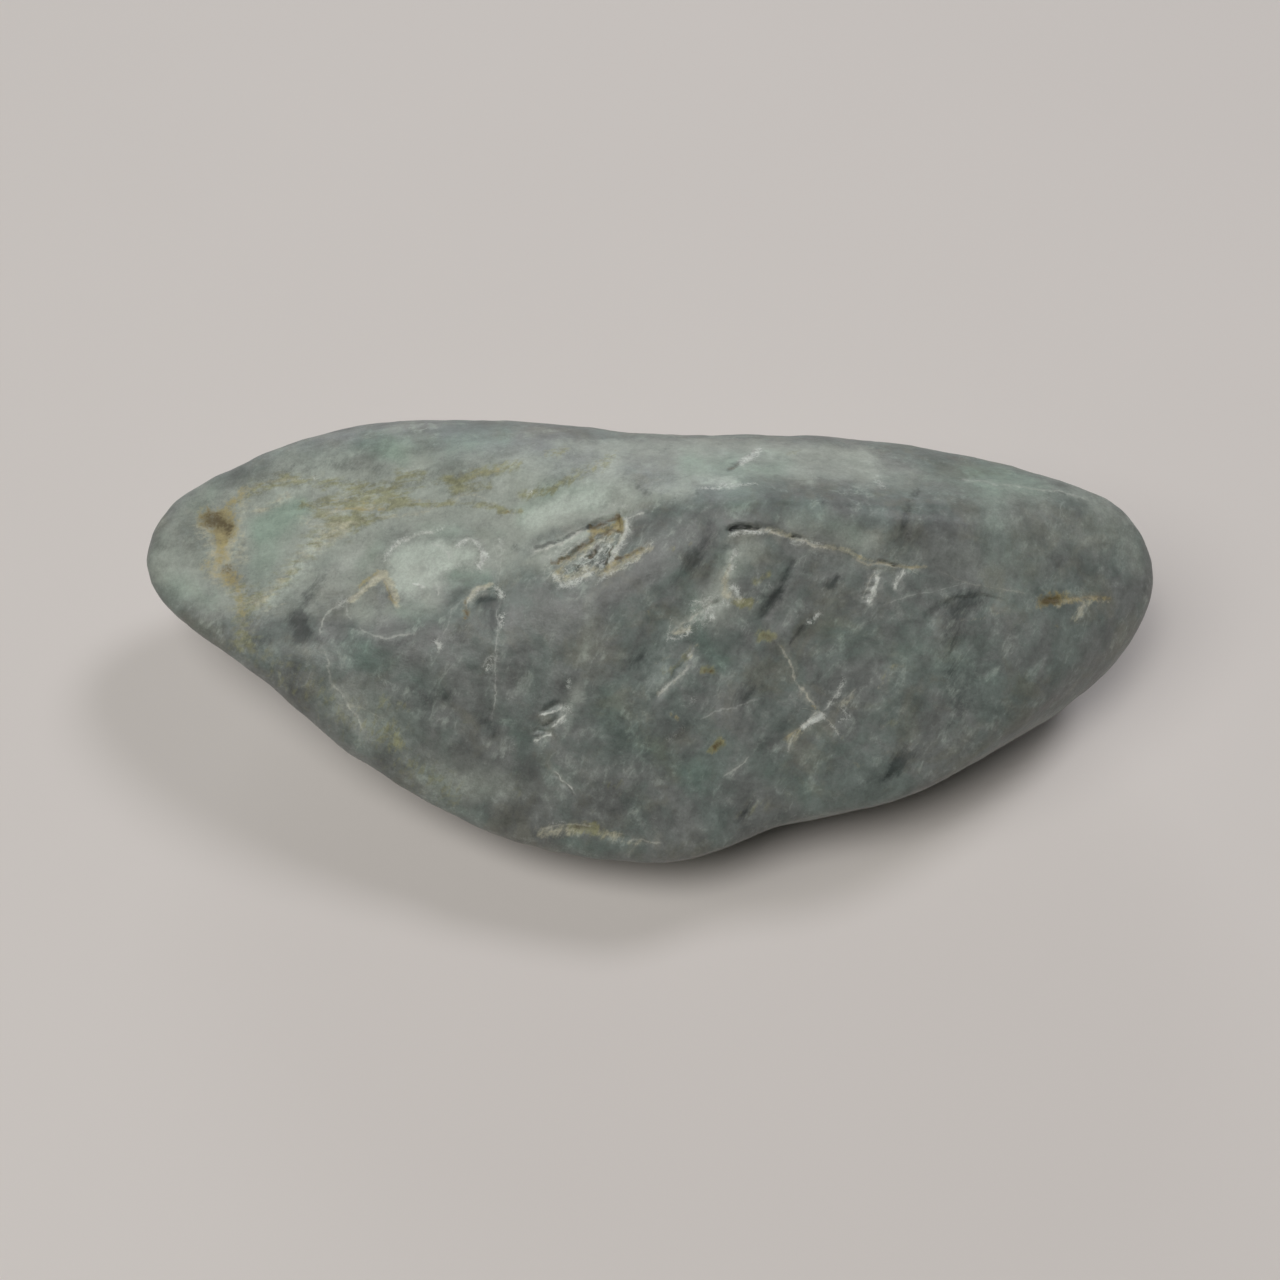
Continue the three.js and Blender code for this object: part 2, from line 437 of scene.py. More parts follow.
def splinters(front):
    """Ridges about a quarter of a millimetre wide that run along the chip: clouds drawn out four times as
    long as they are wide, in the chip's own direction."""
    turn = math.radians(SPLINTER_TURN)
    along = (front.right * math.cos(turn) + front.up * math.sin(turn)) / SPLINTER_STRETCH
    across = front.up * math.cos(turn) - front.right * math.sin(turn)
    return clouds(np.stack([along, across, np.zeros_like(along)], axis=-1), SPLINTER_WIDTH, SPLINTER_SEED, 2)


def relief(points, front):
    """How deep the face lies under the worn block, in mm: swells, the named marks, pits and splinters."""
    swells = sum(height * clouds(points, length, seed, 2) for height, length, seed in SWELLS)
    return (swells + ledges(front) + grooves(front) + soft_lines(front, SCOOPS) + pits(points)
            + SPLINTER_DEPTH * fresh_break(front) * splinters(front))


# ---- Markings: healed fractures, stains and clouds in the jade, and painted shade and light, on the front drawing in mm ----

# A thread is a healed fracture that shows as a fine line: half its width, how strongly it shows, how rusty it
# is (0 white, 0.5 cream, 1 ochre), and its line. Threads that touch or cross are in different layers.
THREADS = {
    "first": {
        "rim of the pale patch, left": (0.12, 0.45, 0.1, [(-15.9, 4.5), (-15.8, 4.9), (-14.7, 5.6),
            (-13.8, 5.9), (-12.7, 6.3)]),
        "rim of the pale patch, right": (0.13, 0.6, 0.0, [(-11.7, 5.4), (-10.9, 5.7), (-10.2, 5.4),
            (-9.8, 4.7), (-10.0, 4.0)]),
        "left fork, stem": (0.10, 0.75, 0.1, [(-19.7, -0.3), (-19.7, 0.7), (-19.4, 1.3), (-18.9, 1.7),
            (-18.3, 2.1)]),
        "left fork, lower part": (0.10, 0.75, 0.15, [(-19.8, -0.6), (-19.4, -1.7), (-19.1, -2.9),
            (-18.4, -3.9), (-17.4, -5.3), (-16.9, -6.2)]),
        "thread under the pale patch": (0.09, 0.5, 0.05, [(-17.7, 0.6), (-17.0, 0.1), (-16.0, -0.2),
            (-15.0, -0.1), (-14.0, 0.0)]),
        "hook": (0.13, 1.1, 0.25, [(-11.0, 1.5), (-10.8, 2.3), (-10.3, 2.7), (-9.6, 2.8)]),
        "upright fracture, top": (0.07, 0.25, 0.0, [(-8.9, 5.9), (-9.0, 4.5), (-9.1, 2.4)]),
        "short thread": (0.10, 1.0, 0.05, [(-12.8, 3.1), (-12.8, 2.3)]),
        "short thread, lower": (0.11, 0.6, 0.05, [(-12.7, -0.1), (-12.8, -0.6), (-12.6, -1.1)]),
        "chip, upper rim": (0.12, 1.1, 0.1, [(-7.4, 4.5), (-6.8, 4.9), (-6.0, 5.2), (-5.2, 5.4),
            (-4.7, 5.8), (-4.2, 6.2), (-3.8, 6.4)]),
        "chip, second rim": (0.10, 0.6, 0.4, [(-5.6, 4.1), (-4.9, 4.5), (-4.4, 4.9), (-3.9, 5.3)]),
        "chip, ridge": (0.11, 0.9, 0.1, [(-1.5, 7.1), (-1.5, 6.3), (-1.7, 5.7), (-2.1, 5.1), (-2.6, 4.3)]),
        "chip, crystal edge": (0.09, 0.7, 0.05, [(-3.6, 4.9), (-3.2, 4.5), (-3.3, 4.0)]),
        "lip under the crack": (0.12, 0.85, 0.25, [(4.9, 6.2), (5.5, 6.1), (6.1, 6.3), (7.0, 6.2)]),
        "seam, middle": (0.12, 0.85, 0.4, [(8.3, 5.7), (9.3, 5.5), (10.4, 5.2), (11.2, 5.1), (12.0, 4.7)]),
        "seam, faint end": (0.07, 0.35, 0.3, [(17.0, 4.0), (18.9, 3.0), (21.0, 2.7), (23.2, 2.3)]),
        "fork, left": (0.21, 1.4, 0.0, [(13.7, 3.8), (13.5, 3.0), (13.3, 2.3), (13.1, 1.6)]),
        "cream streak, edge": (0.11, 0.9, 0.0, [(2.7, -0.7), (2.4, -1.2), (2.1, -1.4)]),
        "cream streak, lower": (0.12, 0.9, 0.1, [(2.4, -1.8), (1.9, -2.4), (1.2, -2.9), (0.1, -3.9)]),
        "cluster, foot": (0.11, 0.7, 0.3, [(1.1, -0.1), (1.6, 0.4), (2.4, 0.9), (3.2, 1.4)]),
        "thin vein": (0.12, 1.3, 0.35, [(7.3, -0.3), (7.9, -0.8), (8.4, -1.7), (8.7, -2.7), (9.2, -3.5),
            (9.7, -4.1), (10.2, -4.7)]),
        "crossing vein": (0.17, 1.0, 0.1, [(9.0, -5.8), (9.5, -5.3), (10.3, -4.7)]),
        "side vein": (0.09, 0.55, 0.3, [(11.2, -4.3), (11.8, -3.8), (12.4, -3.3)]),
        "faint vein, left": (0.10, 0.35, 0.0, [(2.6, -5.2), (3.9, -4.7), (5.4, -4.3), (6.8, -3.8)]),
        "faint vein, low": (0.08, 0.5, 0.1, [(4.3, -8.7), (5.2, -8.0), (6.1, -7.2)]),
        "scar, upper line": (0.11, 1.3, 0.0, [(-6.8, -4.9), (-6.2, -4.8), (-5.7, -4.7), (-5.4, -4.4),
            (-5.3, -4.1)]),
        "scar, lower line": (0.11, 1.2, 0.0, [(-7.1, -6.4), (-6.6, -6.3), (-6.0, -6.1), (-5.8, -5.9)]),
        "low cut": (0.09, 1.0, 0.0, [(-5.9, -8.2), (-5.6, -8.4), (-5.3, -8.9), (-5.0, -9.0),
            (-4.7, -9.3), (-4.4, -9.8)]),
        "white hair above the crack": (0.12, 0.7, 0.1, [(5.3, 10.0), (5.9, 10.4), (6.2, 10.9), (6.6, 11.1)]),
        "crest line": (0.09, 0.5, 0.1, [(17.6, 9.4), (20.1, 9.2), (22.8, 8.8), (25.6, 8.4), (27.3, 7.8)]),
        "rusty line by the right tip": (0.11, 0.7, 0.7, [(24.7, 1.9), (25.4, 2.2), (26.4, 2.2), (27.7, 2.1)]),
        "top-left rusty edge": (0.10, 0.5, 0.5, [(-24.9, 8.2), (-23.3, 9.0), (-21.6, 9.3), (-20.6, 9.3)]),
        "bottom, upper edge": (0.10, 0.6, 0.25, [(-6.8, -11.9), (-5.9, -11.6), (-4.5, -11.4), (-3.1, -11.7)]),
        "fine arc under the seam": (0.07, 0.3, 0.0, [(13.3, 1.6), (15.3, 2.2), (17.4, 2.7), (19.8, 3.1)]),
    },
    "second": {
        "left fork, upper arm": (0.11, 0.85, 0.35, [(-18.4, 2.0), (-17.6, 2.4), (-16.9, 3.0), (-16.2, 3.7)]),
        "left fork, lower branch": (0.07, 0.45, 0.3, [(-18.3, -4.2), (-17.3, -4.4), (-16.2, -5.0),
            (-15.7, -5.1)]),
        "fleck in the pale patch": (0.12, 0.8, 0.0, [(-14.1, 2.8), (-13.5, 2.8)]),
        "upright fracture": (0.07, 0.45, 0.0, [(-9.1, 2.4), (-9.3, -0.3), (-9.3, -2.1), (-9.4, -4.2),
            (-9.6, -5.7)]),
        "chip, left rim": (0.12, 0.7, 0.3, [(-5.7, 3.7), (-5.6, 3.3), (-5.3, 2.9)]),
        "chip, spur": (0.09, 0.8, 0.05, [(-1.5, 6.9), (-1.0, 7.1), (-0.3, 7.4)]),
        "chip, middle crystals": (0.11, 0.7, 0.0, [(-4.5, 4.3), (-4.1, 4.7), (-3.6, 5.1), (-3.0, 5.7),
            (-2.5, 5.7)]),
        "chip, lower rim": (0.12, 0.7, 0.4, [(-5.3, 2.9), (-4.7, 3.3), (-3.9, 3.5), (-3.5, 3.8)]),
        "seam, left part": (0.11, 0.7, 0.35, [(6.6, 6.3), (7.3, 6.1), (8.1, 5.8)]),
        "seam, right part": (0.11, 0.75, 0.6, [(11.9, 4.7), (12.7, 4.3), (13.8, 4.1), (15.3, 4.0),
            (16.6, 4.0)]),
        "fork, left edge": (0.07, 0.6, 0.15, [(13.6, 4.0), (13.1, 3.3), (12.8, 1.9)]),
        "fork, right": (0.19, 1.4, 0.0, [(15.4, 4.0), (15.1, 3.5), (14.8, 3.0), (14.5, 2.5)]),
        "pale patch, inner rim": (0.11, 0.7, 0.0, [(-13.2, 5.4), (-12.5, 5.2), (-12.1, 4.9), (-12.0, 4.3)]),
        "cluster, upper": (0.11, 0.6, 0.1, [(5.0, 5.1), (4.9, 4.5), (4.7, 3.9), (4.6, 3.3)]),
        "cluster, middle": (0.11, 0.65, 0.3, [(4.3, 2.7), (5.0, 2.2), (5.4, 1.9)]),
        "cluster, white": (0.11, 0.6, 0.05, [(2.4, 1.7), (3.1, 1.9), (4.0, 2.0)]),
        "crossing vein, rusty end": (0.10, 0.8, 0.8, [(8.0, -6.4), (8.4, -6.1), (9.0, -5.7)]),
        "crossing vein, lower end": (0.07, 0.5, 0.3, [(10.3, -4.7), (10.8, -5.3), (11.3, -6.0)]),
        "scar, middle line": (0.10, 1.2, 0.0, [(-5.9, -5.7), (-5.6, -5.4), (-5.3, -5.0), (-5.0, -4.8)]),
        "its cream underside": (0.11, 0.6, 0.2, [(25.6, 1.0), (25.9, 1.5), (26.4, 1.8)]),
        "bottom, right end": (0.10, 0.7, 0.25, [(-1.5, -12.5), (-0.7, -12.4), (0.1, -12.6), (0.9, -12.5)]),
        "veil left of the hook": (0.07, 0.3, 0.05, [(-12.6, -0.3), (-12.1, 0.7), (-11.9, 1.5), (-11.3, 2.1)]),
    },
    "third": {
        "left fork, right arm": (0.09, 0.75, 0.6, [(-16.3, 3.6), (-15.8, 3.0), (-15.5, 2.4), (-15.1, 1.7)]),
        "left fork, inner hair": (0.10, 1.0, 0.05, [(-18.3, 1.9), (-18.2, 1.2), (-18.0, 0.9)]),
        "chip, right rim": (0.11, 0.8, 0.45, [(-3.0, 3.4), (-2.0, 4.0), (-1.2, 4.6), (-0.6, 4.9),
            (-0.1, 5.4), (0.3, 5.7)]),
        "chip, ridge foot": (0.10, 0.7, 0.1, [(-4.0, 4.1), (-3.7, 3.7), (-4.1, 3.4)]),
        "crossing vein, upper end": (0.08, 0.7, 0.0, [(10.3, -4.7), (10.9, -4.0), (11.3, -3.5),
            (11.8, -2.7)]),
        "crossing vein, foot": (0.09, 0.6, 0.1, [(8.8, -5.8), (8.4, -6.5), (8.2, -7.2)]),
        "cluster, lower": (0.10, 0.6, 0.2, [(3.7, 2.1), (3.4, 1.5), (3.0, 1.0)]),
    },
}

# A stain or cloud, or a painted shade or light: its spread and strength, and the line that it follows.
STAINS = {
    "milk_and_painted_light": {
        "left end": (2.2, 0.90, [(-27.0, 4.2), (-24.9, 5.4), (-21.6, 5.1), (-18.6, 6.3)]),
        "left end, low": (1.2, 0.55, [(-24.9, 2.5), (-21.6, 2.8), (-18.3, 2.8)]),
        "left rim": (0.9, 0.60, [(-29.4, 3.9), (-28.8, 6.3), (-26.7, 8.4)]),
        "left tip": (1.4, 0.40, [(-28.8, 3.0), (-26.1, 1.5)]),
        # Partly milky jade, partly painted sheen: the milk from here to the upper edge, over the top left,
        # the crest and the top band, also stands for the sheen that the light from behind and above lays on
        # these faces.
        "top left": (2.2, 0.95, [(-24.0, 7.5), (-18.6, 7.8), (-13.2, 7.5), (-7.8, 7.8)]),
        "top left, upper": (1.8, 0.55, [(-21.6, 10.1), (-15.0, 10.9), (-7.8, 10.9)]),
        "round the pale patch": (1.5, 0.70, [(-17.1, 4.2), (-13.2, 3.3), (-9.6, 4.5)]),
        "under the pale patch": (0.9, 0.60, [(-17.1, 1.3), (-13.2, 1.6)]),
        "crest": (1.20, 1.55, [(-7.7, 7.0), (-5.6, 7.6), (-2.7, 8.1)]),
        "crest, right": (1.0, 0.80, [(-2.1, 8.1), (1.8, 8.7)]),
        "top left, middle": (1.0, 0.55, [(-15.0, 10.9), (-13.5, 8.7), (-13.5, 6.9)]),
        "over the crest": (0.9, 0.55, [(-7.8, 9.7), (-5.4, 10.2), (-2.4, 10.0)]),
        "top band": (1.0, 0.95, [(3.0, 10.2), (6.6, 10.0), (12.6, 9.9)]),
        "top band, left": (1.0, 0.60, [(-2.4, 10.7), (2.4, 10.4)]),
        "upper edge": (0.6, 0.65, [(-5.4, 11.3), (3.0, 11.4), (12.6, 10.9)]),
        "right, upper": (1.2, 0.40, [(12.0, 5.4), (18.0, 4.5), (23.4, 3.9)]),
        "over the ridge": (0.7, 0.50, [(-24.9, 1.6), (-21.0, 1.3), (-17.4, 1.3)]),
        "middle": (0.9, 0.40, [(4.2, 0.3), (5.7, 1.3), (7.8, 2.1)]),
        # Partly milky jade, partly painted sheen along the top band's right part.
        "top band, right": (1.2, 0.60, [(13.8, 9.9), (23.4, 8.7)]),
        "left of the chip": (1.1, 0.50, [(-8.7, 4.6), (-6.6, 4.5)]),
        "band down the front": (0.60, 0.45, [(-3.5, 3.3), (-3.7, -0.3), (-4.2, -3.9)]),
        "under the crack": (1.0, 0.75, [(3.7, 1.9), (4.7, 3.9), (5.9, 5.4)]),
        "cluster": (1.1, 0.50, [(1.8, 0.7), (4.3, 2.1)]),
        "right of the cluster": (0.9, 0.25, [(6.6, 4.5), (7.8, 5.2), (12.0, 3.6)]),
        "over the crack": (1.1, 0.35, [(4.8, 8.1), (12.0, 6.9)]),
        # Painted light: this milk brightens the lower left slope for the light that the floor throws back up
        # under its overhang.
        "lower left slope": (1.4, 0.40, [(-19.2, -4.2), (-15.3, -7.1), (-11.1, -9.8)]),
        "lower left front": (1.3, 0.35, [(-16.8, -3.3), (-13.2, -6.0), (-8.4, -9.0)]),
        "low left": (1.3, 0.35, [(-12.6, -9.0), (-7.8, -9.6), (-3.0, -8.4)]),
        "right end": (1.8, 0.60, [(20.4, 6.9), (26.4, 5.7)]),
        "right end, low": (1.6, 0.28, [(21.0, 2.1), (25.2, -0.3)]),
        "left front, low": (1.2, 0.22, [(-24.0, -0.3), (-19.2, -2.3), (-16.2, -5.1)]),
        "over the seam": (0.8, 0.45, [(8.4, 6.4), (13.2, 5.5)]),
        "chip": (0.8, 0.45, [(-5.6, 3.7), (-3.0, 5.1), (-1.7, 6.1)]),
        "chip, upper lobe": (0.5, 0.60, [(-6.4, 4.7), (-5.3, 5.1), (-4.1, 5.8)]),
        "right rim": (0.9, 0.60, [(25.8, 8.7), (28.5, 6.6), (29.5, 3.9)]),
        "right, middle": (1.4, 0.25, [(12.6, -0.3), (16.8, -1.5), (21.0, -0.3)]),
        "beside the scar": (0.6, 0.50, [(-4.7, -3.3), (-5.1, -5.3)]),
    },
    "jade": {
        "left end": (1.5, 0.75, [(-23.3, 4.1), (-22.8, 5.7), (-21.7, 7.0)]),
        "left end, upper": (0.7, 0.7, [(-23.3, 6.3), (-21.0, 7.6)]),
        "left tip": (1.2, 0.6, [(-28.5, 3.0), (-26.7, 2.1)]),
        "left rim": (0.9, 0.5, [(-27.0, 7.5), (-24.9, 9.9)]),
        "upper edge, left": (1.1, 0.8, [(-17.1, 11.5), (-13.2, 11.6), (-9.0, 11.8)]),
        "below the upper edge": (0.8, 0.6, [(-15.9, 11.0), (-15.0, 10.3)]),
        "right of the pale patch": (0.7, 0.9, [(-11.7, 3.3), (-9.9, 3.3)]),
        "over the pale patch": (0.7, 0.5, [(-13.8, 6.4), (-9.0, 6.0)]),
        "under the pale patch": (0.9, 0.8, [(-15.0, 1.3), (-13.2, 1.0)]),
        "left of the chip": (1.1, 0.9, [(-7.2, 6.9), (-5.7, 8.1), (-3.6, 8.2)]),
        "left of the pale patch": (0.8, 0.5, [(-17.4, 4.3), (-16.2, 5.2)]),
        "under the fork": (1.0, 0.6, [(-18.0, -0.3), (-16.7, -1.2)]),
        "upper edge, right": (1.1, 0.8, [(2.4, 10.3), (7.8, 9.9)]),
        "upper edge, far right": (1.1, 0.7, [(16.8, 9.9), (23.4, 9.0)]),
        "over the crack": (1.2, 0.8, [(5.1, 7.8), (9.0, 7.3), (12.0, 6.3)]),
        "under the crack": (0.8, 0.6, [(3.9, 4.9), (5.7, 3.6)]),
        "right end": (2.0, 0.5, [(20.1, 8.1), (21.0, 5.7), (22.2, 3.3)]),
        "middle": (1.4, 0.5, [(10.8, 0.9), (12.0, -0.9)]),
        "middle, left": (1.0, 0.8, [(2.1, 3.3), (3.0, -0.3), (4.2, -1.5)]),
        "middle, low": (1.6, 0.8, [(-3.0, -3.9), (-1.5, -6.3), (3.0, -8.7)]),
        "low, middle": (1.4, 0.8, [(6.6, -7.5), (9.0, -9.3)]),
        "right": (1.8, 0.5, [(14.4, -0.3), (17.4, -1.5), (21.6, -2.7)]),
        "low right": (1.2, 0.45, [(10.8, -7.5), (13.8, -3.9)]),
        "front, left": (1.3, 0.7, [(-16.8, -1.5), (-12.6, -3.3)]),
        "front, low left": (1.0, 0.7, [(-9.6, -3.9), (-7.8, -6.3)]),
        "slope": (1.0, 0.5, [(-13.8, -8.1), (-10.8, -10.5)]),
        "bottom": (0.8, 0.6, [(-5.4, -12.5), (-3.0, -12.9)]),
    },
    "pale": {
        "pale patch": (0.95, 1.1, [(-15.0, 4.2), (-13.8, 4.9), (-12.8, 4.9)]),
        "pale patch, right part": (0.65, 0.9, [(-12.3, 4.5), (-10.7, 4.7)]),
        "pale patch, lower part": (0.7, 0.9, [(-14.9, 2.8), (-13.1, 3.3)]),
        # Partly pale jade, partly painted sheen along the crest.
        "crest, left of the chip": (0.7, 0.9, [(-7.2, 6.7), (-5.6, 7.6), (-3.0, 8.1)]),
        "crest": (0.7, 0.5, [(-5.4, 8.8), (-3.0, 9.1), (-1.2, 8.9)]),
        "chip's left": (0.6, 0.3, [(-7.2, 5.4), (-5.4, 6.3)]),
        "chip, upper lobe": (0.25, 1.0, [(-5.5, 5.4), (-4.7, 5.7), (-3.9, 6.1)]),
        "chip": (0.7, 0.4, [(-5.4, 4.2), (-1.8, 6.3)]),
        "top band 1": (0.45, 0.7, [(3.0, 9.4), (5.1, 9.1)]),
        "top band 2": (0.60, 0.45, [(7.1, 10.6), (8.4, 9.9), (9.7, 9.1)]),
        "top band 3": (0.6, 0.4, [(12.6, 10.7), (14.4, 9.9)]),
        "under the crack": (0.5, 0.5, [(4.7, 4.9), (5.1, 3.6)]),
        "left end": (0.8, 0.6, [(-21.0, 4.2), (-19.5, 6.3)]),
        "left end, low": (0.7, 0.6, [(-23.3, 1.8), (-21.3, 3.3)]),
        "left end, top": (0.5, 0.5, [(-23.3, 7.8), (-21.0, 8.8)]),
        "top left": (0.5, 0.4, [(-19.2, 10.6), (-17.9, 10.9)]),
        "top left 2": (0.6, 0.4, [(-12.0, 8.7), (-7.8, 9.3)]),
        "above the scar": (0.4, 0.4, [(-3.8, 2.1), (-3.9, -1.5)]),
    },
    "olive": {
        "band from the left stain": (0.50, 0.95, [(-24.6, 8.1), (-23.5, 8.8), (-21.6, 9.3),
            (-19.5, 9.1), (-17.1, 8.8), (-14.7, 8.7)]),
        "main band": (0.48, 1.0, [(-20.7, 7.7), (-18.3, 8.0), (-15.1, 7.9)]),
        "main band, under": (0.42, 0.8, [(-19.8, 6.9), (-16.8, 6.9), (-15.5, 7.2)]),
        "main band, thin end": (0.32, 0.9, [(-15.1, 7.9), (-11.7, 7.8), (-9.0, 7.6)]),
        "soft cloud": (0.85, 0.75, [(-17.7, 6.7), (-19.2, 6.0), (-20.3, 5.4)]),
        "soft cloud, lower": (0.75, 0.75, [(-21.0, 4.2), (-22.5, 2.7), (-23.7, 1.8)]),
        "tail": (0.75, 0.70, [(-24.7, 2.7), (-24.5, -0.3)]),
        "upper streak 1": (0.40, 1.0, [(-15.1, 9.6), (-13.7, 9.7)]),
        "upper streak 2": (0.45, 1.1, [(-11.7, 9.1), (-10.2, 9.6), (-7.9, 10.1)]),
        "upper streak 3": (0.38, 1.0, [(-7.7, 8.2), (-5.9, 8.6), (-5.0, 9.1)]),
        "upper streak 4": (0.22, 1.0, [(-9.0, 7.3), (-7.7, 7.3)]),
        "upper streak 5": (0.34, 0.8, [(-6.2, 10.7), (-5.0, 10.9)]),
        "upper streak 6": (0.40, 0.8, [(-4.5, 9.5), (-3.0, 10.1), (-2.1, 10.7)]),
        "upper streak 7": (0.34, 0.8, [(-12.0, 8.5), (-9.6, 8.8)]),
        "upper streak 8": (0.30, 0.7, [(-13.8, 8.9), (-11.9, 9.4)]),
        "lower left slope": (1.5, 0.55, [(-23.7, -0.9), (-21.0, -2.9), (-18.3, -4.7), (-15.0, -7.2),
            (-12.0, -9.6)]),
        "beside the left fork": (0.45, 0.6, [(-16.1, -4.1), (-14.7, -4.3)]),
        "left of the fork": (0.45, 0.5, [(-15.7, -5.6), (-15.1, -6.5)]),
        "low slope, fleck": (0.4, 0.35, [(-11.0, -5.4), (-10.3, -5.7)]),
        "over the cluster": (0.34, 0.9, [(6.4, 3.1), (7.0, 3.6)]),
        "cluster": (0.40, 0.6, [(4.5, 3.6), (4.5, 2.5), (5.3, 1.8), (6.1, 1.9)]),
        "cluster, right": (0.30, 1.1, [(5.3, 1.9), (6.0, 1.9)]),
        "cream streak": (0.40, 0.7, [(2.4, -1.1), (1.9, -1.8), (0.9, -2.4)]),
        "cluster's foot": (0.25, 0.8, [(1.6, 0.4), (2.1, 0.5)]),
        "left of the cluster": (0.25, 0.7, [(1.3, 5.1), (2.3, 5.4)]),
        "vein's head": (0.40, 1.6, [(6.7, -0.1), (7.2, -0.2)]),
        "spot 1": (0.30, 1.4, [(3.2, -2.2), (3.7, -2.2)]),
        "spot 2": (0.30, 1.4, [(3.7, -6.9), (4.3, -6.5)]),
        "right of the crossing": (0.35, 0.5, [(14.1, -5.3), (15.3, -5.3)]),
        "crossing, right": (0.30, 0.4, [(11.0, -6.0), (11.4, -6.3)]),
        "tick at the right": (0.25, 0.6, [(14.6, -2.0), (14.0, -2.7)]),
        "above the crack": (0.32, 0.5, [(8.4, 10.7), (9.0, 10.9)]),
        "bottom": (0.45, 1.3, [(-4.7, -11.7), (-3.3, -11.7)]),
        "bottom, right": (0.30, 0.6, [(-2.7, -12.1), (-1.9, -12.1)]),
        "low middle": (0.45, 0.5, [(-2.5, -9.1), (-1.9, -8.7)]),
        "low dark": (0.5, 0.5, [(5.4, -10.8), (6.7, -10.3)]),
        "left of the cut": (0.6, 0.35, [(-8.1, -8.1), (-7.7, -9.9)]),
    },
    "dark": {
        "left rim": (0.70, 0.8, [(-29.4, 5.4), (-29.0, 4.9)]),
        "left, over the stain": (0.8, 0.15, [(-27.9, 6.3), (-26.1, 8.4), (-24.6, 9.6)]),
        "soft blot": (0.60, 1.8, [(-21.1, 0.9), (-20.9, 0.2)]),
        "veil over the blot": (0.40, 0.45, [(-19.2, 4.5), (-19.9, 3.0), (-20.4, 2.2)]),
        # Painted shade: darkens the rounded left ridge, where the lamps lay a highlight along it.
        "painted shade under the ridge": (0.5, 0.90, [(-24.0, -0.4), (-20.3, -0.4), (-17.4, -0.3), (-14.4, -0.5)]),
        "right, diagonal": (0.85, 0.90, [(19.1, 1.9), (17.9, -0.9), (18.4, -4.2)]),
        "soft blot, tail": (0.40, 0.5, [(-20.6, 2.1), (-21.0, 1.0)]),
        "left of the blot": (0.7, 0.20, [(-23.7, 1.0), (-22.2, 0.6)]),
        "round the blot": (1.0, 0.20, [(-21.0, 2.1), (-19.8, -0.3)]),
        "band over the blot": (0.50, 0.55, [(-15.5, 6.4), (-17.4, 5.5), (-18.3, 4.3), (-19.7, 3.3),
            (-20.5, 2.1)]),
        "grey above the tail": (0.34, 0.8, [(-24.0, 7.6), (-23.5, 8.1), (-22.9, 8.5)]),
        "grey under the top": (0.60, 0.75, [(-22.8, 9.7), (-19.2, 10.2), (-15.6, 9.9)]),
        "grey under the top, right": (0.40, 0.7, [(-13.5, 9.7), (-11.7, 10.1)]),
        "upper grey": (0.45, 0.35, [(-8.4, 9.3), (-6.3, 9.9)]),
        "dent by the hook": (0.50, 1.5, [(-10.2, 2.0), (-9.6, 1.9)]),
        "under the hook": (0.9, 1.1, [(-11.5, 0.0), (-9.3, 0.9)]),
        "beside the fracture": (0.18, 0.8, [(-9.5, 1.3), (-9.5, -1.5), (-9.6, -4.7)]),
        "gap over the hook": (0.22, 0.7, [(-8.0, 5.4), (-8.9, 4.3), (-9.3, 3.3)]),
        "under the thread": (0.32, 0.7, [(-13.8, -0.8), (-12.9, -0.3)]),
        "low left 1": (0.55, 0.9, [(-13.3, -3.8), (-12.3, -3.7)]),
        "low left 2": (0.55, 0.9, [(-9.8, -5.3), (-9.3, -6.2)]),
        "low left 3": (0.30, 0.5, [(-15.2, -1.5), (-14.3, -1.3)]),
        "low left 4": (0.30, 0.4, [(-11.4, -4.9), (-10.5, -5.4)]),
        "low left 5": (0.9, 0.35, [(-18.0, -3.3), (-13.2, -3.3), (-9.0, -5.1)]),
        "low left 6": (0.7, 0.35, [(-8.7, -8.4), (-6.3, -9.3)]),
        "over the scar": (0.34, 1.0, [(-6.3, -4.4), (-5.6, -4.1)]),
        "inside the scar": (0.26, 1.0, [(-6.3, -5.5), (-5.9, -5.3)]),
        "inside the scar, lower": (0.10, 1.5, [(-7.0, -6.1), (-6.3, -6.0)]),
        "cut's left": (0.26, 0.7, [(-5.8, -8.7), (-5.1, -9.3)]),
        "low 1": (0.28, 0.7, [(-4.0, -9.0), (-3.6, -9.1)]),
        "low 2": (0.32, 0.7, [(-2.7, -9.3), (-1.9, -8.9)]),
        "low 3": (0.9, 0.35, [(-3.0, -7.8), (-0.6, -3.9)]),
        "crest blotch": (0.34, 1.0, [(-0.7, 9.0), (-0.2, 8.5)]),
        "crest, grey": (0.8, 0.6, [(-1.2, 6.3), (0.6, 6.7)]),
        # Painted shade: the dark in the chip's deep crack, the open crack, the slit in the seam, the chip's
        # recess and along the chip's top edge stands for the shadow inside these grooves and under these
        # ledges.
        "chip, deep crack": (0.12, 2.5, [(-3.8, 4.7), (-3.5, 5.0), (-3.3, 5.3)]),
        "crack": (0.095, 4.0, [(4.8, 6.3), (5.2, 6.4), (5.8, 6.4), (6.5, 6.3)]),
        "slit in the seam": (0.11, 2.2, [(8.4, 5.9), (9.1, 5.8)]),
        "chip, recess": (0.11, 1.4, [(-3.7, 6.4), (-3.0, 6.7), (-2.3, 7.0), (-2.0, 7.3)]),
        "chip, top edge": (0.11, 1.9, [(-6.8, 5.1), (-6.0, 5.4), (-5.2, 5.6), (-4.5, 6.1), (-3.7, 6.5)]),
        "over the chip, left": (0.35, 0.7, [(-7.8, 5.1), (-6.8, 5.6), (-5.4, 6.3)]),
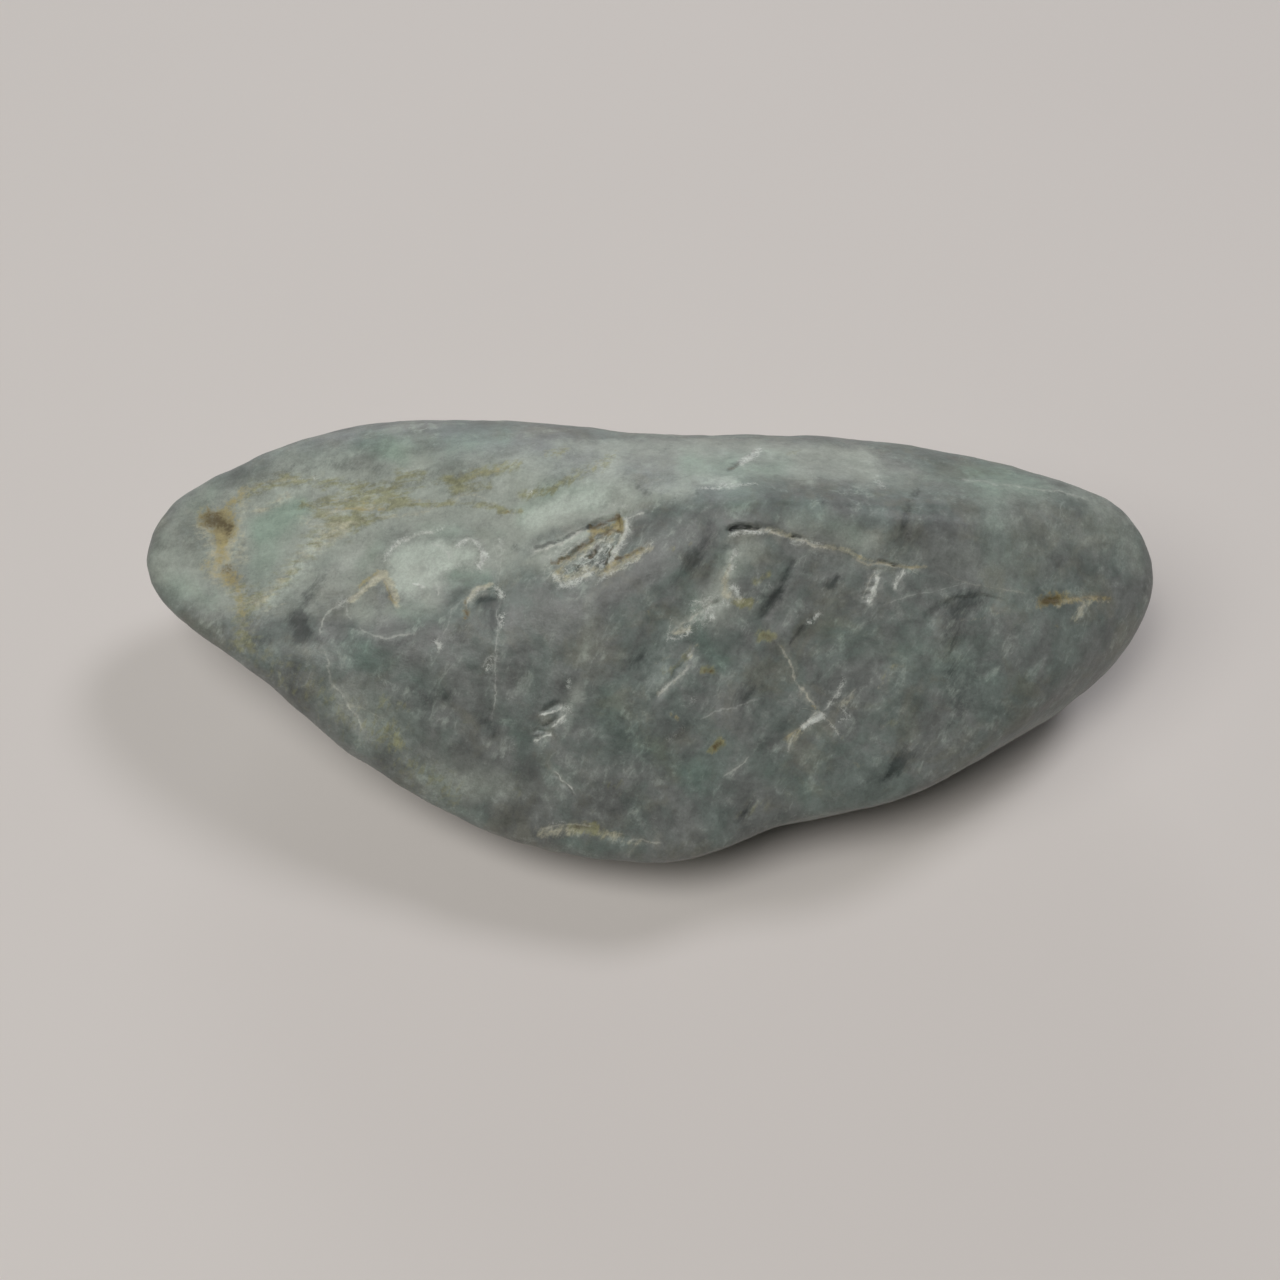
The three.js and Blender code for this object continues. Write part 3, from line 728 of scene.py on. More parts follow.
        "speck on the crest": (0.14, 1.0, [(2.7, 8.7), (2.7, 8.5)]),
        "under the crest": (0.75, 1.2, [(3.6, 6.4), (2.7, 4.3)]),
        "under the crest, low": (0.7, 0.7, [(2.4, 4.5), (1.3, 2.7)]),
        "beside the chip": (0.8, 0.4, [(-0.6, 4.5), (-2.4, 1.5)]),
        "red speck": (0.24, 1.2, [(4.6, 9.9), (5.4, 10.3)]),
        "over the red speck": (0.20, 0.8, [(4.2, 10.3), (4.8, 10.6)]),
        "top band 3": (0.16, 1.0, [(0.6, 10.9), (1.3, 11.3)]),
        "top band 4": (0.22, 0.9, [(10.1, 8.1), (10.4, 7.7)]),
        "top band 5": (0.30, 0.6, [(3.0, 8.1), (4.0, 8.5)]),
        "top band": (0.30, 0.6, [(13.8, 10.9), (14.5, 10.3)]),
        "top band 2": (0.5, 0.3, [(12.0, 8.5), (13.8, 7.8)]),
        "long diagonal": (0.26, 1.0, [(16.1, 8.9), (15.5, 7.8), (15.2, 6.5)]),
        "long diagonal, lower": (0.36, 0.7, [(15.7, 6.7), (15.2, 5.2)]),
        "long diagonal, soft": (0.9, 0.35, [(16.5, 8.4), (14.7, 5.4)]),
        "diagonal 2": (0.36, 0.8, [(8.5, 4.2), (8.1, 3.4), (7.8, 2.5)]),
        "diagonal 2, lower": (0.50, 1.0, [(7.5, 2.1), (7.0, 1.5), (6.6, 0.9)]),
        "diagonal 3": (0.22, 1.4, [(9.1, 0.4), (8.4, -0.5)]),
        "diagonal 4": (0.36, 0.7, [(15.5, -6.7), (14.8, -7.7)]),
        "diagonal 4, lower": (0.30, 0.7, [(14.9, -7.8), (14.2, -8.7)]),
        "diagonal 4, side": (0.50, 0.6, [(15.7, -7.3), (14.8, -8.5)]),
        "diagonal 5": (0.34, 0.8, [(6.4, -9.9), (5.7, -10.7)]),
        "diagonal 5, lower": (0.44, 0.7, [(6.0, -10.7), (5.3, -11.4)]),
        "diagonal 6": (0.26, 0.5, [(20.1, -2.9), (18.1, -5.5)]),
        "diagonal 7": (0.34, 0.8, [(7.1, -2.7), (5.5, -4.2)]),
        "diagonal 8": (0.24, 1.3, [(11.2, 3.3), (10.7, 2.8)]),
        "diagonal 9": (0.18, 0.7, [(10.2, -2.4), (9.7, -3.2)]),
        "diagonal 10": (0.28, 0.6, [(13.0, -0.3), (12.1, -1.7)]),
        "diagonal 11": (0.30, 0.5, [(4.3, -6.0), (3.0, -7.1)]),
        "diagonal 12": (0.26, 0.6, [(2.4, -9.3), (1.6, -10.1)]),
        "diagonal 13": (0.24, 0.5, [(20.4, 4.5), (19.6, 4.1)]),
        "diagonal 14": (0.18, 0.8, [(7.8, -7.3), (7.5, -7.5)]),
        "diagonal 15": (0.24, 0.5, [(-0.6, -1.2), (-1.5, -2.3)]),
        "right of the fork": (0.70, 0.95, [(16.9, 1.6), (18.5, 2.1), (20.1, 2.3)]),
        "right of the fork, lower": (0.45, 0.6, [(18.1, 1.3), (17.6, -0.3)]),
        "small at the right": (0.20, 0.8, [(22.0, 0.4), (21.5, -0.1)]),
        "right, low": (0.40, 0.5, [(18.2, -1.8), (18.0, -2.3)]),
        "right tip": (0.7, 0.5, [(28.5, 4.5), (27.7, 3.0)]),
        "right tip, under": (0.35, 0.5, [(25.5, 2.7), (26.5, 2.5)]),
        "right, middle": (1.0, 0.3, [(13.8, 2.7), (12.0, -0.3)]),
        "right, low middle": (0.9, 0.65, [(10.5, -3.3), (12.0, -5.1)]),
        "right, under the seam": (0.8, 0.70, [(7.2, 2.1), (9.0, 3.6), (11.4, 2.7)]),
        "front, low": (0.8, 0.7, [(5.1, -3.9), (6.6, -2.1)]),
        "front, middle": (0.8, 0.8, [(-1.3, -2.0), (0.3, -0.3)]),
        "low right": (1.0, 0.55, [(11.4, -9.9), (18.6, -6.0)]),
    },
    "cream": {
        "left stain, bright foot": (0.42, 1.3, [(-25.4, 5.7), (-25.5, 5.2), (-25.6, 4.7)]),
        "round the left stain": (0.80, 0.85, [(-26.7, 6.3), (-26.1, 5.4), (-26.1, 3.9)]),
        "right of the left stain": (0.50, 0.75, [(-24.3, 7.9), (-24.6, 6.3), (-24.4, 4.5)]),
        "over the jade": (0.32, 0.8, [(-23.5, 7.3), (-22.7, 7.7), (-21.6, 8.4)]),
        "under the band": (0.50, 0.6, [(-20.9, 6.9), (-19.7, 6.3), (-18.9, 6.6)]),
        "below the left stain": (0.80, 0.65, [(-25.4, 3.3), (-24.3, 1.9)]),
        "band, light": (0.20, 0.8, [(-19.7, 7.2), (-18.3, 7.5), (-16.7, 7.7)]),
        "band, lower light": (0.20, 0.7, [(-18.3, 6.6), (-15.9, 7.0), (-13.8, 7.3), (-11.4, 8.1)]),
        "cloud, upper": (0.60, 0.7, [(-18.3, 6.3), (-19.8, 5.4), (-21.0, 4.6)]),
        "cloud, lower": (0.42, 0.8, [(-21.5, 3.7), (-22.5, 2.8), (-23.4, 1.9)]),
        "cloud, line": (0.16, 0.6, [(-23.3, 1.3), (-22.5, 1.7), (-21.7, 1.8)]),
        "over the band": (0.20, 0.5, [(-17.4, 8.4), (-15.6, 8.3), (-13.8, 8.1)]),
        "upper streak": (0.16, 0.7, [(-11.3, 8.4), (-10.2, 8.2), (-9.2, 7.7)]),
        "fork, left arm": (0.20, 1.5, [(-18.0, 2.1), (-17.4, 2.5), (-16.9, 2.9), (-16.2, 3.6)]),
        "fork, right arm": (0.20, 1.7, [(-15.9, 3.6), (-15.5, 3.0), (-15.3, 2.4), (-15.2, 1.7)]),
        "fork, inside": (0.14, 0.6, [(-16.5, 2.9), (-16.1, 3.3)]),
        "fork, top": (0.14, 0.5, [(-16.2, 3.9), (-15.8, 4.3), (-15.3, 3.9)]),
        "hook": (0.18, 1.3, [(-10.9, 2.1), (-10.7, 2.5), (-10.2, 2.8), (-9.5, 3.0)]),
        "chip, lower left": (0.50, 0.9, [(-5.6, 3.6), (-5.1, 3.3), (-4.3, 3.5), (-3.5, 3.9)]),
        "chip, second step": (0.14, 0.6, [(-5.2, 4.2), (-4.5, 4.6), (-4.1, 5.1)]),
        "chip, right strand": (0.34, 1.0, [(-2.8, 3.6), (-1.9, 4.0), (-1.1, 4.5), (-0.1, 5.2)]),
        "chip, over the crystals": (0.24, 1.0, [(-3.9, 5.1), (-3.1, 5.7), (-2.4, 5.8)]),
        "chip, wedge": (0.16, 1.2, [(-3.3, 6.1), (-2.8, 6.3)]),
        "chip, ridge": (0.32, 0.9, [(-1.5, 6.7), (-1.6, 6.1), (-1.9, 5.5), (-2.4, 4.3)]),
        "seam, left": (0.24, 0.9, [(6.9, 6.2), (7.7, 6.1), (8.5, 5.8)]),
        "seam, middle": (0.18, 1.0, [(10.3, 5.2), (11.4, 5.1), (12.6, 4.6)]),
        "seam, right": (0.15, 0.7, [(12.7, 4.6), (13.8, 4.2), (16.6, 4.0)]),
        "cluster, left": (0.34, 0.9, [(4.7, 4.1), (4.5, 3.3), (4.5, 2.4)]),
        "cluster, middle": (0.30, 0.6, [(4.7, 2.4), (5.4, 2.1)]),
        "cluster, right": (0.20, 0.6, [(5.5, 1.9), (6.4, 1.9)]),
        "cluster, foot": (0.22, 1.0, [(1.5, 0.1), (2.4, 0.3)]),
        "cream streak": (0.13, 0.6, [(2.8, -0.6), (2.4, -1.3), (2.4, -1.7), (1.8, -2.5), (0.4, -3.6)]),
        "cream streak, upper": (0.14, 0.5, [(2.4, -1.3), (1.2, -1.4), (0.3, -1.8)]),
        "crossing": (0.30, 0.7, [(11.3, -4.4), (12.2, -3.9)]),
        "crossing, left": (0.30, 0.8, [(8.3, -6.5), (9.3, -5.7)]),
        "tick at the right": (0.14, 0.6, [(13.8, -2.0), (14.9, -2.0)]),
        "tick's foot": (0.14, 0.5, [(14.6, -2.4), (13.7, -3.3)]),
        "right of the crossing": (0.24, 0.5, [(13.9, -5.5), (14.8, -5.3)]),
        "right of the crossing, low": (0.24, 0.4, [(14.2, -6.7), (14.3, -7.1)]),
        "faint, right": (0.16, 0.5, [(18.7, 0.9), (20.1, 1.0), (21.4, 1.5)]),
        "tip, left": (0.24, 1.1, [(24.4, 1.7), (25.0, 2.1)]),
        "tip, right": (0.13, 0.8, [(26.5, 1.9), (27.7, 1.9)]),
        "tip's underside": (0.26, 1.0, [(25.6, 0.9), (25.8, 1.4), (26.2, 1.8)]),
        "bottom, left": (0.45, 0.9, [(-6.5, -11.9), (-4.7, -11.9)]),
        "bottom, right": (0.30, 0.9, [(-3.0, -12.0), (-1.8, -12.2)]),
        "bottom, end": (0.18, 0.8, [(-1.4, -12.6), (0.0, -12.6)]),
        "left slope": (0.30, 0.35, [(-16.3, -6.6), (-15.1, -8.0)]),
        "low middle": (0.20, 0.35, [(-3.0, -9.8), (-1.8, -9.7)]),
    },
    "white": {
        "tail's fleck": (0.16, 0.8, [(-20.9, 9.4), (-19.9, 9.3)]),
        "pale patch, left rim": (0.24, 1.1, [(-15.9, 4.5), (-15.5, 5.2), (-14.7, 5.6)]),
        "pale patch, top rim": (0.16, 0.8, [(-14.7, 5.7), (-13.2, 6.1), (-12.1, 6.6)]),
        "pale patch, right rim": (0.15, 1.2, [(-11.6, 5.2), (-10.9, 5.7), (-10.2, 5.3), (-9.8, 4.7)]),
        "pale patch, right rim, foot": (0.26, 1.5, [(-9.9, 4.7), (-10.1, 4.2)]),
        "pale patch, inside": (0.40, 0.5, [(-12.8, 3.9), (-11.6, 4.1), (-10.3, 3.9)]),
        "pale patch, fleck": (0.14, 1.7, [(-14.1, 2.9), (-13.7, 2.8)]),
        "left fork": (0.20, 0.7, [(-18.8, 1.7), (-18.4, 2.1), (-17.7, 2.3)]),
        "beside the fracture": (0.26, 1.4, [(-9.2, 2.7), (-9.0, 2.2)]),
        "down the fracture": (0.16, 0.9, [(-8.9, 1.1), (-9.0, 0.6)]),
        "fracture's foot": (0.22, 0.8, [(-9.6, -1.5), (-9.9, -2.0)]),
        "over the fracture": (0.20, 0.6, [(-9.1, 5.7), (-8.9, 5.2), (-9.0, 4.7)]),
        "left of the fracture": (0.26, 1.2, [(-12.8, -0.5), (-12.7, -0.9)]),
        "along the fracture": (0.16, 0.5, [(-8.8, 1.3), (-9.2, -0.1), (-9.3, -1.8), (-9.9, -2.3)]),
        "crest flecks": (0.20, 0.9, [(-7.2, 8.4), (-6.8, 8.5)]),
        "crest flecks, right": (0.24, 0.5, [(-5.3, 7.9), (-4.5, 7.9)]),
        "above the chip": (0.40, 0.45, [(-3.5, 7.6), (-2.6, 7.8), (-1.5, 7.6)]),
        "chip, upper lobe": (0.50, 0.45, [(-6.3, 4.8), (-5.3, 5.1), (-4.1, 5.8)]),
        "chip, crystals": (0.40, 0.8, [(-4.2, 4.5), (-3.5, 4.6), (-2.9, 5.1), (-2.6, 5.5)]),
        "chip, lower rim": (0.24, 1.1, [(-5.7, 3.5), (-5.4, 2.9), (-4.4, 3.1), (-3.6, 3.6)]),
        "chip, ridge": (0.22, 1.2, [(-1.5, 6.9), (-1.5, 6.2), (-1.8, 5.5), (-2.4, 4.3)]),
        "chip, strand's edge": (0.17, 0.85, [(-2.9, 3.4), (-2.3, 3.7), (-1.5, 4.1), (-0.7, 4.6), (0.1, 5.6)]),
        "chip, below": (0.20, 0.5, [(-3.2, 2.9), (-2.6, 3.4)]),
        "scar": (0.32, 0.8, [(-5.0, -4.6), (-5.2, -5.3)]),
        "scar, foot": (0.22, 0.6, [(-7.0, -6.4), (-6.1, -6.2)]),
        "above the scar": (0.40, 0.30, [(-4.9, -4.2), (-4.7, -3.3)]),
        "over the scar": (0.13, 0.8, [(-5.3, -3.0), (-4.9, -2.7), (-5.0, -3.1)]),
        "lip under the crack": (0.15, 1.3, [(4.9, 6.0), (5.5, 6.1), (6.1, 6.1), (7.1, 6.1)]),
        "seam": (0.18, 1.2, [(8.5, 5.5), (9.4, 5.5), (10.2, 5.3)]),
        "fork": (0.13, 1.0, [(13.6, 3.1), (13.3, 2.3)]),
        "fork, right": (0.12, 1.0, [(15.1, 3.6), (14.8, 3.1)]),
        "below the crack": (0.32, 1.1, [(5.0, 5.0), (4.9, 4.0)]),
        "below the crack, right": (0.18, 0.5, [(5.8, 5.7), (5.8, 5.2)]),
        "cluster": (0.50, 0.75, [(2.7, 1.9), (3.5, 2.1), (4.5, 1.9)]),
        "cluster, fringe": (0.45, 0.6, [(2.5, 1.2), (3.1, 0.7), (2.2, 0.4)]),
        "cluster, low": (0.30, 0.9, [(3.4, 1.5), (3.7, 0.9)]),
        "cluster, foot": (0.14, 0.9, [(1.0, -0.3), (1.7, -0.2), (2.4, 0.1)]),
        "cluster, foot's side": (0.13, 0.7, [(1.3, 0.9), (1.1, 0.0)]),
        "cluster, spot": (0.20, 1.3, [(4.9, 2.9), (5.2, 2.7)]),
        "cluster, spot under it": (0.16, 1.2, [(5.1, 2.4), (5.3, 2.2)]),
        "cluster, right": (0.15, 0.7, [(7.1, 3.1), (7.2, 2.8)]),
        "crossing": (0.19, 2.0, [(9.3, -5.6), (10.2, -5.0)]),
        "crossing, lower arm": (0.16, 0.9, [(10.3, -4.8), (10.9, -5.5), (11.3, -6.0)]),
        "crossing, above": (0.22, 0.75, [(10.7, -4.3), (11.3, -3.7), (11.6, -2.7)]),
        "crossing, arms": (0.20, 0.8, [(11.5, -4.3), (12.0, -5.0), (11.3, -5.3)]),
        "tick in the middle": (0.20, 1.2, [(9.4, 0.7), (10.1, 1.2)]),
        "above the red speck": (0.22, 1.3, [(5.4, 10.3), (6.1, 10.6), (6.6, 11.0)]),
        "crest specks": (0.14, 1.0, [(3.0, 8.8), (4.5, 9.0), (6.4, 9.0)]),
        "top cloud 1": (0.28, 0.4, [(9.4, 9.9), (9.9, 9.3)]),
        "top cloud 2": (0.24, 0.45, [(13.1, 10.5), (13.7, 10.2)]),
        "top cloud 3": (0.26, 0.9, [(13.6, 9.3), (14.0, 8.9)]),
        "top cloud 4": (0.40, 0.4, [(0.3, 8.8), (1.8, 8.4)]),
        "smudge 1": (0.30, 0.45, [(2.1, -4.2), (2.8, -3.9)]),
        "smudge 2": (0.40, 0.35, [(1.1, -6.3), (2.1, -5.7)]),
        "smudge 3": (0.20, 0.4, [(-0.8, -6.7), (-0.2, -6.7)]),
        "low middle": (0.30, 0.3, [(-0.6, -11.6), (0.3, -11.1)]),
        "low specks": (0.12, 0.6, [(8.3, -9.5), (8.4, -9.6)]),
        "tip's underside": (0.12, 0.7, [(25.6, 0.9), (25.9, 0.9)]),
        "bottom": (0.12, 0.6, [(-6.3, -11.4), (-5.6, -11.3), (-5.0, -11.3)]),
    },
    "ochre": {
        "left stain": (0.80, 1.15, [(-26.5, 7.0), (-25.8, 6.8), (-25.2, 6.3)]),
        "left stain, foot": (0.50, 1.0, [(-25.7, 6.1), (-25.8, 5.4), (-25.7, 4.7)]),
        "left stain, upper": (0.50, 0.8, [(-25.3, 7.3), (-24.8, 8.0), (-24.2, 8.6)]),
        "left stain, low": (0.70, 0.65, [(-26.6, 4.0), (-25.9, 3.7), (-25.2, 3.6)]),
        "left trail": (0.60, 0.70, [(-25.1, 3.3), (-24.5, 2.3), (-24.5, 1.3)]),
        "main band": (0.14, 0.9, [(-19.4, 7.4), (-18.2, 7.6), (-15.9, 7.5)]),
        "main band, upper": (0.12, 0.7, [(-19.9, 7.9), (-18.3, 8.1), (-16.2, 7.9)]),
        "upper streak": (0.16, 0.8, [(-10.8, 9.3), (-9.9, 9.6), (-9.0, 9.8)]),
        "upper streak, left": (0.12, 0.7, [(-14.3, 8.1), (-13.5, 8.1), (-12.9, 8.0)]),
        "upper streak, right": (0.12, 0.6, [(-3.9, 9.6), (-3.2, 10.2), (-2.6, 10.7)]),
        "crest streak": (0.13, 0.7, [(-8.8, 7.3), (-8.0, 7.3)]),
        "fork": (0.18, 0.9, [(-17.6, 2.8), (-17.0, 3.2), (-16.3, 3.7)]),
        "fork, right arm": (0.13, 1.0, [(-15.9, 3.3), (-15.7, 2.5), (-15.4, 1.8)]),
        "hook": (0.20, 0.8, [(-11.0, 2.2), (-11.0, 1.5), (-11.2, 0.8)]),
        "chip, recess": (0.40, 1.0, [(-3.6, 6.2), (-2.6, 6.3), (-1.9, 6.8)]),
        "chip, recess, right": (0.26, 0.9, [(-2.0, 7.2), (-1.8, 6.3)]),
        "chip, second step": (0.20, 0.9, [(-5.8, 4.3), (-5.0, 4.6), (-4.4, 5.0), (-3.6, 5.7)]),
        "chip, lower left": (0.26, 0.6, [(-5.4, 3.7), (-4.9, 3.4)]),
        "chip, olive shade": (0.20, 0.6, [(-5.6, 3.9), (-4.7, 4.3), (-3.9, 4.9)]),
        "chip, right strand": (0.26, 1.0, [(-2.6, 3.9), (-1.8, 4.5), (-0.6, 5.1)]),
        "seam, left": (0.10, 0.6, [(7.2, 6.1), (8.2, 5.8)]),
        "seam, middle": (0.10, 0.7, [(10.9, 5.3), (11.9, 5.1), (12.7, 4.6)]),
        "seam, right": (0.12, 0.7, [(13.7, 4.2), (15.2, 4.0), (16.6, 4.0)]),
        "vein's head": (0.20, 0.5, [(6.9, -0.2), (7.2, -0.2)]),
        "vein": (0.09, 0.5, [(7.5, -0.4), (8.1, -0.9), (8.4, -1.8)]),
        "spot 1": (0.26, 0.5, [(3.3, -2.2), (3.7, -2.2)]),
        "spot 2": (0.28, 0.8, [(3.8, -6.9), (4.3, -6.5)]),
        "spot 3": (0.20, 0.8, [(1.4, -4.9), (1.6, -5.0)]),
        "spot 4": (0.14, 0.5, [(-0.1, 1.3), (0.0, 1.0)]),
        "crossing": (0.14, 0.9, [(8.1, -6.4), (9.0, -5.9)]),
        "crossing, middle": (0.10, 0.8, [(9.7, -4.3), (10.2, -4.7)]),
        "low right": (0.24, 0.5, [(12.1, -7.8), (12.7, -8.0)]),
        "low right, hair": (0.10, 0.4, [(12.7, -8.3), (13.1, -8.9)]),
        "right tip": (0.50, 1.20, [(23.5, 1.9), (24.0, 2.1), (24.6, 2.2)]),
        "right tip, line": (0.22, 0.9, [(25.2, 2.1), (26.3, 2.1), (27.7, 2.1)]),
        "right tip, under": (0.18, 0.5, [(24.3, 0.4), (24.9, 0.5)]),
        "bottom": (0.26, 0.5, [(-6.3, -11.9), (-5.0, -11.9)]),
        "lower edge": (0.12, 0.4, [(5.3, -11.9), (7.1, -11.3)]),
    },
    "rust": {
        "left stain, core": (0.72, 1.15, [(-26.2, 6.9), (-25.8, 6.8)]),
        "left stain, right": (0.26, 0.8, [(-25.2, 6.4), (-25.2, 5.7)]),
        "left stain, speck": (0.40, 0.75, [(-25.6, 4.0), (-25.2, 4.0)]),
        "chip, recess": (0.20, 0.9, [(-3.8, 6.4), (-2.9, 6.7), (-2.0, 7.2)]),
        "chip, recess, right": (0.12, 0.9, [(-2.0, 7.2), (-1.9, 6.6)]),
        "chip, recess, streaks": (0.14, 0.9, [(-3.1, 5.9), (-2.4, 6.4), (-1.8, 6.1)]),
        "chip, second step": (0.16, 0.95, [(-5.9, 4.3), (-5.1, 4.6), (-4.5, 5.1), (-3.6, 5.7)]),
        "chip, right strand": (0.10, 1.0, [(-2.0, 4.5), (-1.4, 4.8), (-0.6, 5.2)]),
        "chip, strand's gap": (0.12, 0.9, [(-2.0, 4.5), (-1.8, 4.6)]),
        "chip, crystal gaps": (0.12, 1.3, [(-3.8, 4.7), (-3.5, 5.0), (-3.3, 5.4)]),
        "chip, by the ridge": (0.10, 1.2, [(-2.7, 4.2), (-2.5, 4.9), (-2.3, 5.4)]),
        "chip, olive gap": (0.14, 0.7, [(-4.7, 4.1), (-4.2, 4.1)]),
        "hook": (0.16, 0.9, [(-11.1, 1.0), (-11.0, 1.5), (-11.0, 1.9)]),
        "right tip": (0.40, 1.15, [(23.6, 2.0), (24.4, 2.1)]),
        "right tip, line": (0.09, 0.8, [(25.7, 2.2), (27.2, 2.1)]),
        "red speck": (0.18, 0.8, [(4.7, 9.9), (5.3, 10.2)]),
        "bottom": (0.24, 0.9, [(-4.5, -11.6), (-3.8, -11.6)]),
        "spot 1": (0.22, 0.9, [(3.3, -2.2), (3.7, -2.2)]),
        "spot 2": (0.24, 1.0, [(3.8, -6.8), (4.2, -6.6)]),
        "vein's head": (0.26, 0.9, [(6.8, -0.1), (7.2, -0.2)]),
        "crest streak": (0.08, 0.6, [(-8.7, 7.3), (-8.1, 7.3)]),
    },
}

# Threads, in half widths: how far away a point counts as having none, and where a thread's hold on the stone
# around it fades. The part of a thread over which it fades at each end.
NO_THREAD = 9.0
THREAD_HOLD = (4.0, 6.0)
THREAD_FADE = 0.2

# Threads on a side without a drawing of its own: how many, how far right and up of its middle they may start,
# how many steps each takes and how far it turns at each, in radians, the range of a step to the right in mm,
# how much shorter a step is upwards, and the ranges of the half width, the strength and the rust's root.
WANDERERS = 22
WANDER_REACH = (26.0, 8.0)
WANDER_STEPS = 4
WANDER_TURN = 0.35
WANDER_STEP = (1.05, 2.45)
WANDER_FLATTER = 0.6
WANDER_HALF_WIDTH = (0.06, 0.13)
WANDER_STRENGTH = (0.25, 0.7)
WANDER_RUST_ROOT = (0.0, 0.9)
# The layer of threads that each such side joins, and its seed.
WANDER_SIDES = {"first": ("back", 31), "second": ("base", 32)}

# How many random spots of each kind the hidden sides get, their size in mm and their strength. The first
# kind's seed is HIDDEN_SEED, and each further kind has the next one. A spot's strength and size vary by
# SPOT_STRENGTH and SPOT_SIZE. SPOT_LEAN is how much of its squared distance along its own direction doesn't
# count, which makes it longer that way.
HIDDEN_STAINS = {
    "milk_and_painted_light": (26, 3.2, 0.7),
    "jade": (30, 2.4, 0.8),
    "pale": (30, 2.0, 0.6),
    "olive": (50, 1.0, 0.8),
    "dark": (110, 0.6, 0.8),
    "cream": (70, 0.45, 0.8),
    "white": (70, 0.4, 0.8),
    "ochre": (34, 0.45, 0.9),
    "rust": (20, 0.28, 0.8),
}
HIDDEN_SEED = 50
SPOT_STRENGTH = (0.4, 1.0)
SPOT_SIZE = (0.5, 1.5)
SPOT_LEAN = 0.75

# Where the jade's fibres turn from level to climbing: towards the right, and down the front, along lines that
# slant by this much.
FLOW_LEVEL = (-13.0, 1.0)
LEVEL_SLANT = 0.35
FLOW_LOW = (-9.0, -2.0)
LOW_SLANT = 0.2


def threads(drawing, named):
    """For each grid point, its nearest thread: the signed distance over the thread's half width, which
    crosses zero on the line, then how strongly the thread shows there, and how rusty it is. Far from every
    thread it fades."""
    offset = np.full(drawing.right.shape, NO_THREAD)
    strength = np.zeros(drawing.right.shape)
    rust = np.zeros(drawing.right.shape)
    for half_width, shows, rusty, places in named.values():
        gap, share = drawing.path(places)
        nearer = np.abs(gap / half_width) < np.abs(offset)
        offset = np.where(nearer, gap / half_width, offset)
        strength = np.where(nearer, shows * ends_fade(share, THREAD_FADE), strength)
        rust = np.where(nearer, rusty, rust)
    strength = strength * (1.0 - smooth_step(np.abs(offset), *THREAD_HOLD)) * drawing.seen
    return offset, strength, rust


def wandering_threads(seed):
    """Threads for a side of the stone that has no drawing of its own: each starts at a random place and takes
    a few short steps, turning a little at each."""
    rng = np.random.default_rng(seed)
    reach = np.array(WANDER_REACH)
    named = {}
    for number in range(WANDERERS):
        place = rng.uniform(-reach, reach)
        heading = rng.uniform(0.0, 2.0 * math.pi)
        places = [place]
        for _ in range(WANDER_STEPS):
            heading += rng.normal(0.0, WANDER_TURN)
            ahead = np.array([math.cos(heading), WANDER_FLATTER * math.sin(heading)])
            place = place + rng.uniform(*WANDER_STEP) * ahead
            places.append(place)
        half_width = rng.uniform(*WANDER_HALF_WIDTH)
        strength = rng.uniform(*WANDER_STRENGTH)
        rusty = rng.uniform(*WANDER_RUST_ROOT) ** 2
        named[number] = (half_width, strength, rusty, places)
    return named


def hidden_stains(kind, points):
    """Random soft spots of one kind, strength x exp(-(distance / spread)^2), at places drawn from the grid's
    points. Each spot is twice as long as it is wide, in a direction of its own."""
    count, size, strength = HIDDEN_STAINS[kind]
    rng = np.random.default_rng(HIDDEN_SEED + list(HIDDEN_STAINS).index(kind))
    flat = points.reshape(-1, 3)
    total = np.zeros(len(flat))
    for centre in flat[rng.integers(0, len(flat), count)]:
        lean = rng.normal(0.0, 1.0, 3)
        lean /= np.linalg.norm(lean)
        away = flat - centre
        across = (away ** 2).sum(-1) - SPOT_LEAN * (away @ lean) ** 2
        shows = strength * rng.uniform(*SPOT_STRENGTH)
        spread = size * rng.uniform(*SPOT_SIZE)
        total += shows * np.exp(-across / spread ** 2)
    return total.reshape(points.shape[:-1])


def flow(front):
    """How level the jade's fibres run: 1 over the left end's top, 0 over the right and the front, where they
    climb steeply from left to right."""
    rightward = smooth_step(front.right + LEVEL_SLANT * front.up, *FLOW_LEVEL)
    return (1.0 - rightward) * smooth_step(front.up + LOW_SLANT * front.right, *FLOW_LOW)


# ---- The stone ----

def stone_grid():
    """The stone's grid points in mm, before and after the relief, its outward normals, and the front drawing.
    The grid's first index goes around the stone and its second from the left tip to the right tip."""
    around = spaced(0.0, 2.0 * math.pi, AROUND + 1, around_density)[:-1]
    along = spaced(-math.pi / 2, math.pi / 2, RINGS + 2, along_density)
    block = worn_stone(*np.meshgrid(around, along, indexing="ij"))
    low, high = (np.array(corner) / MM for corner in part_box("pebble"))
    block = fit_to_box(block, low, high)
    normals = grid_normals(block)
    front = Drawing("front", block, normals)
    worn = block - normals * relief(block, front)[..., None]
    worn[:, 0] = block[:, 0]
    worn[:, -1] = block[:, -1]
    worn[..., 2] = np.maximum(worn[..., 2], 0.0)
    return block, worn, normals, front


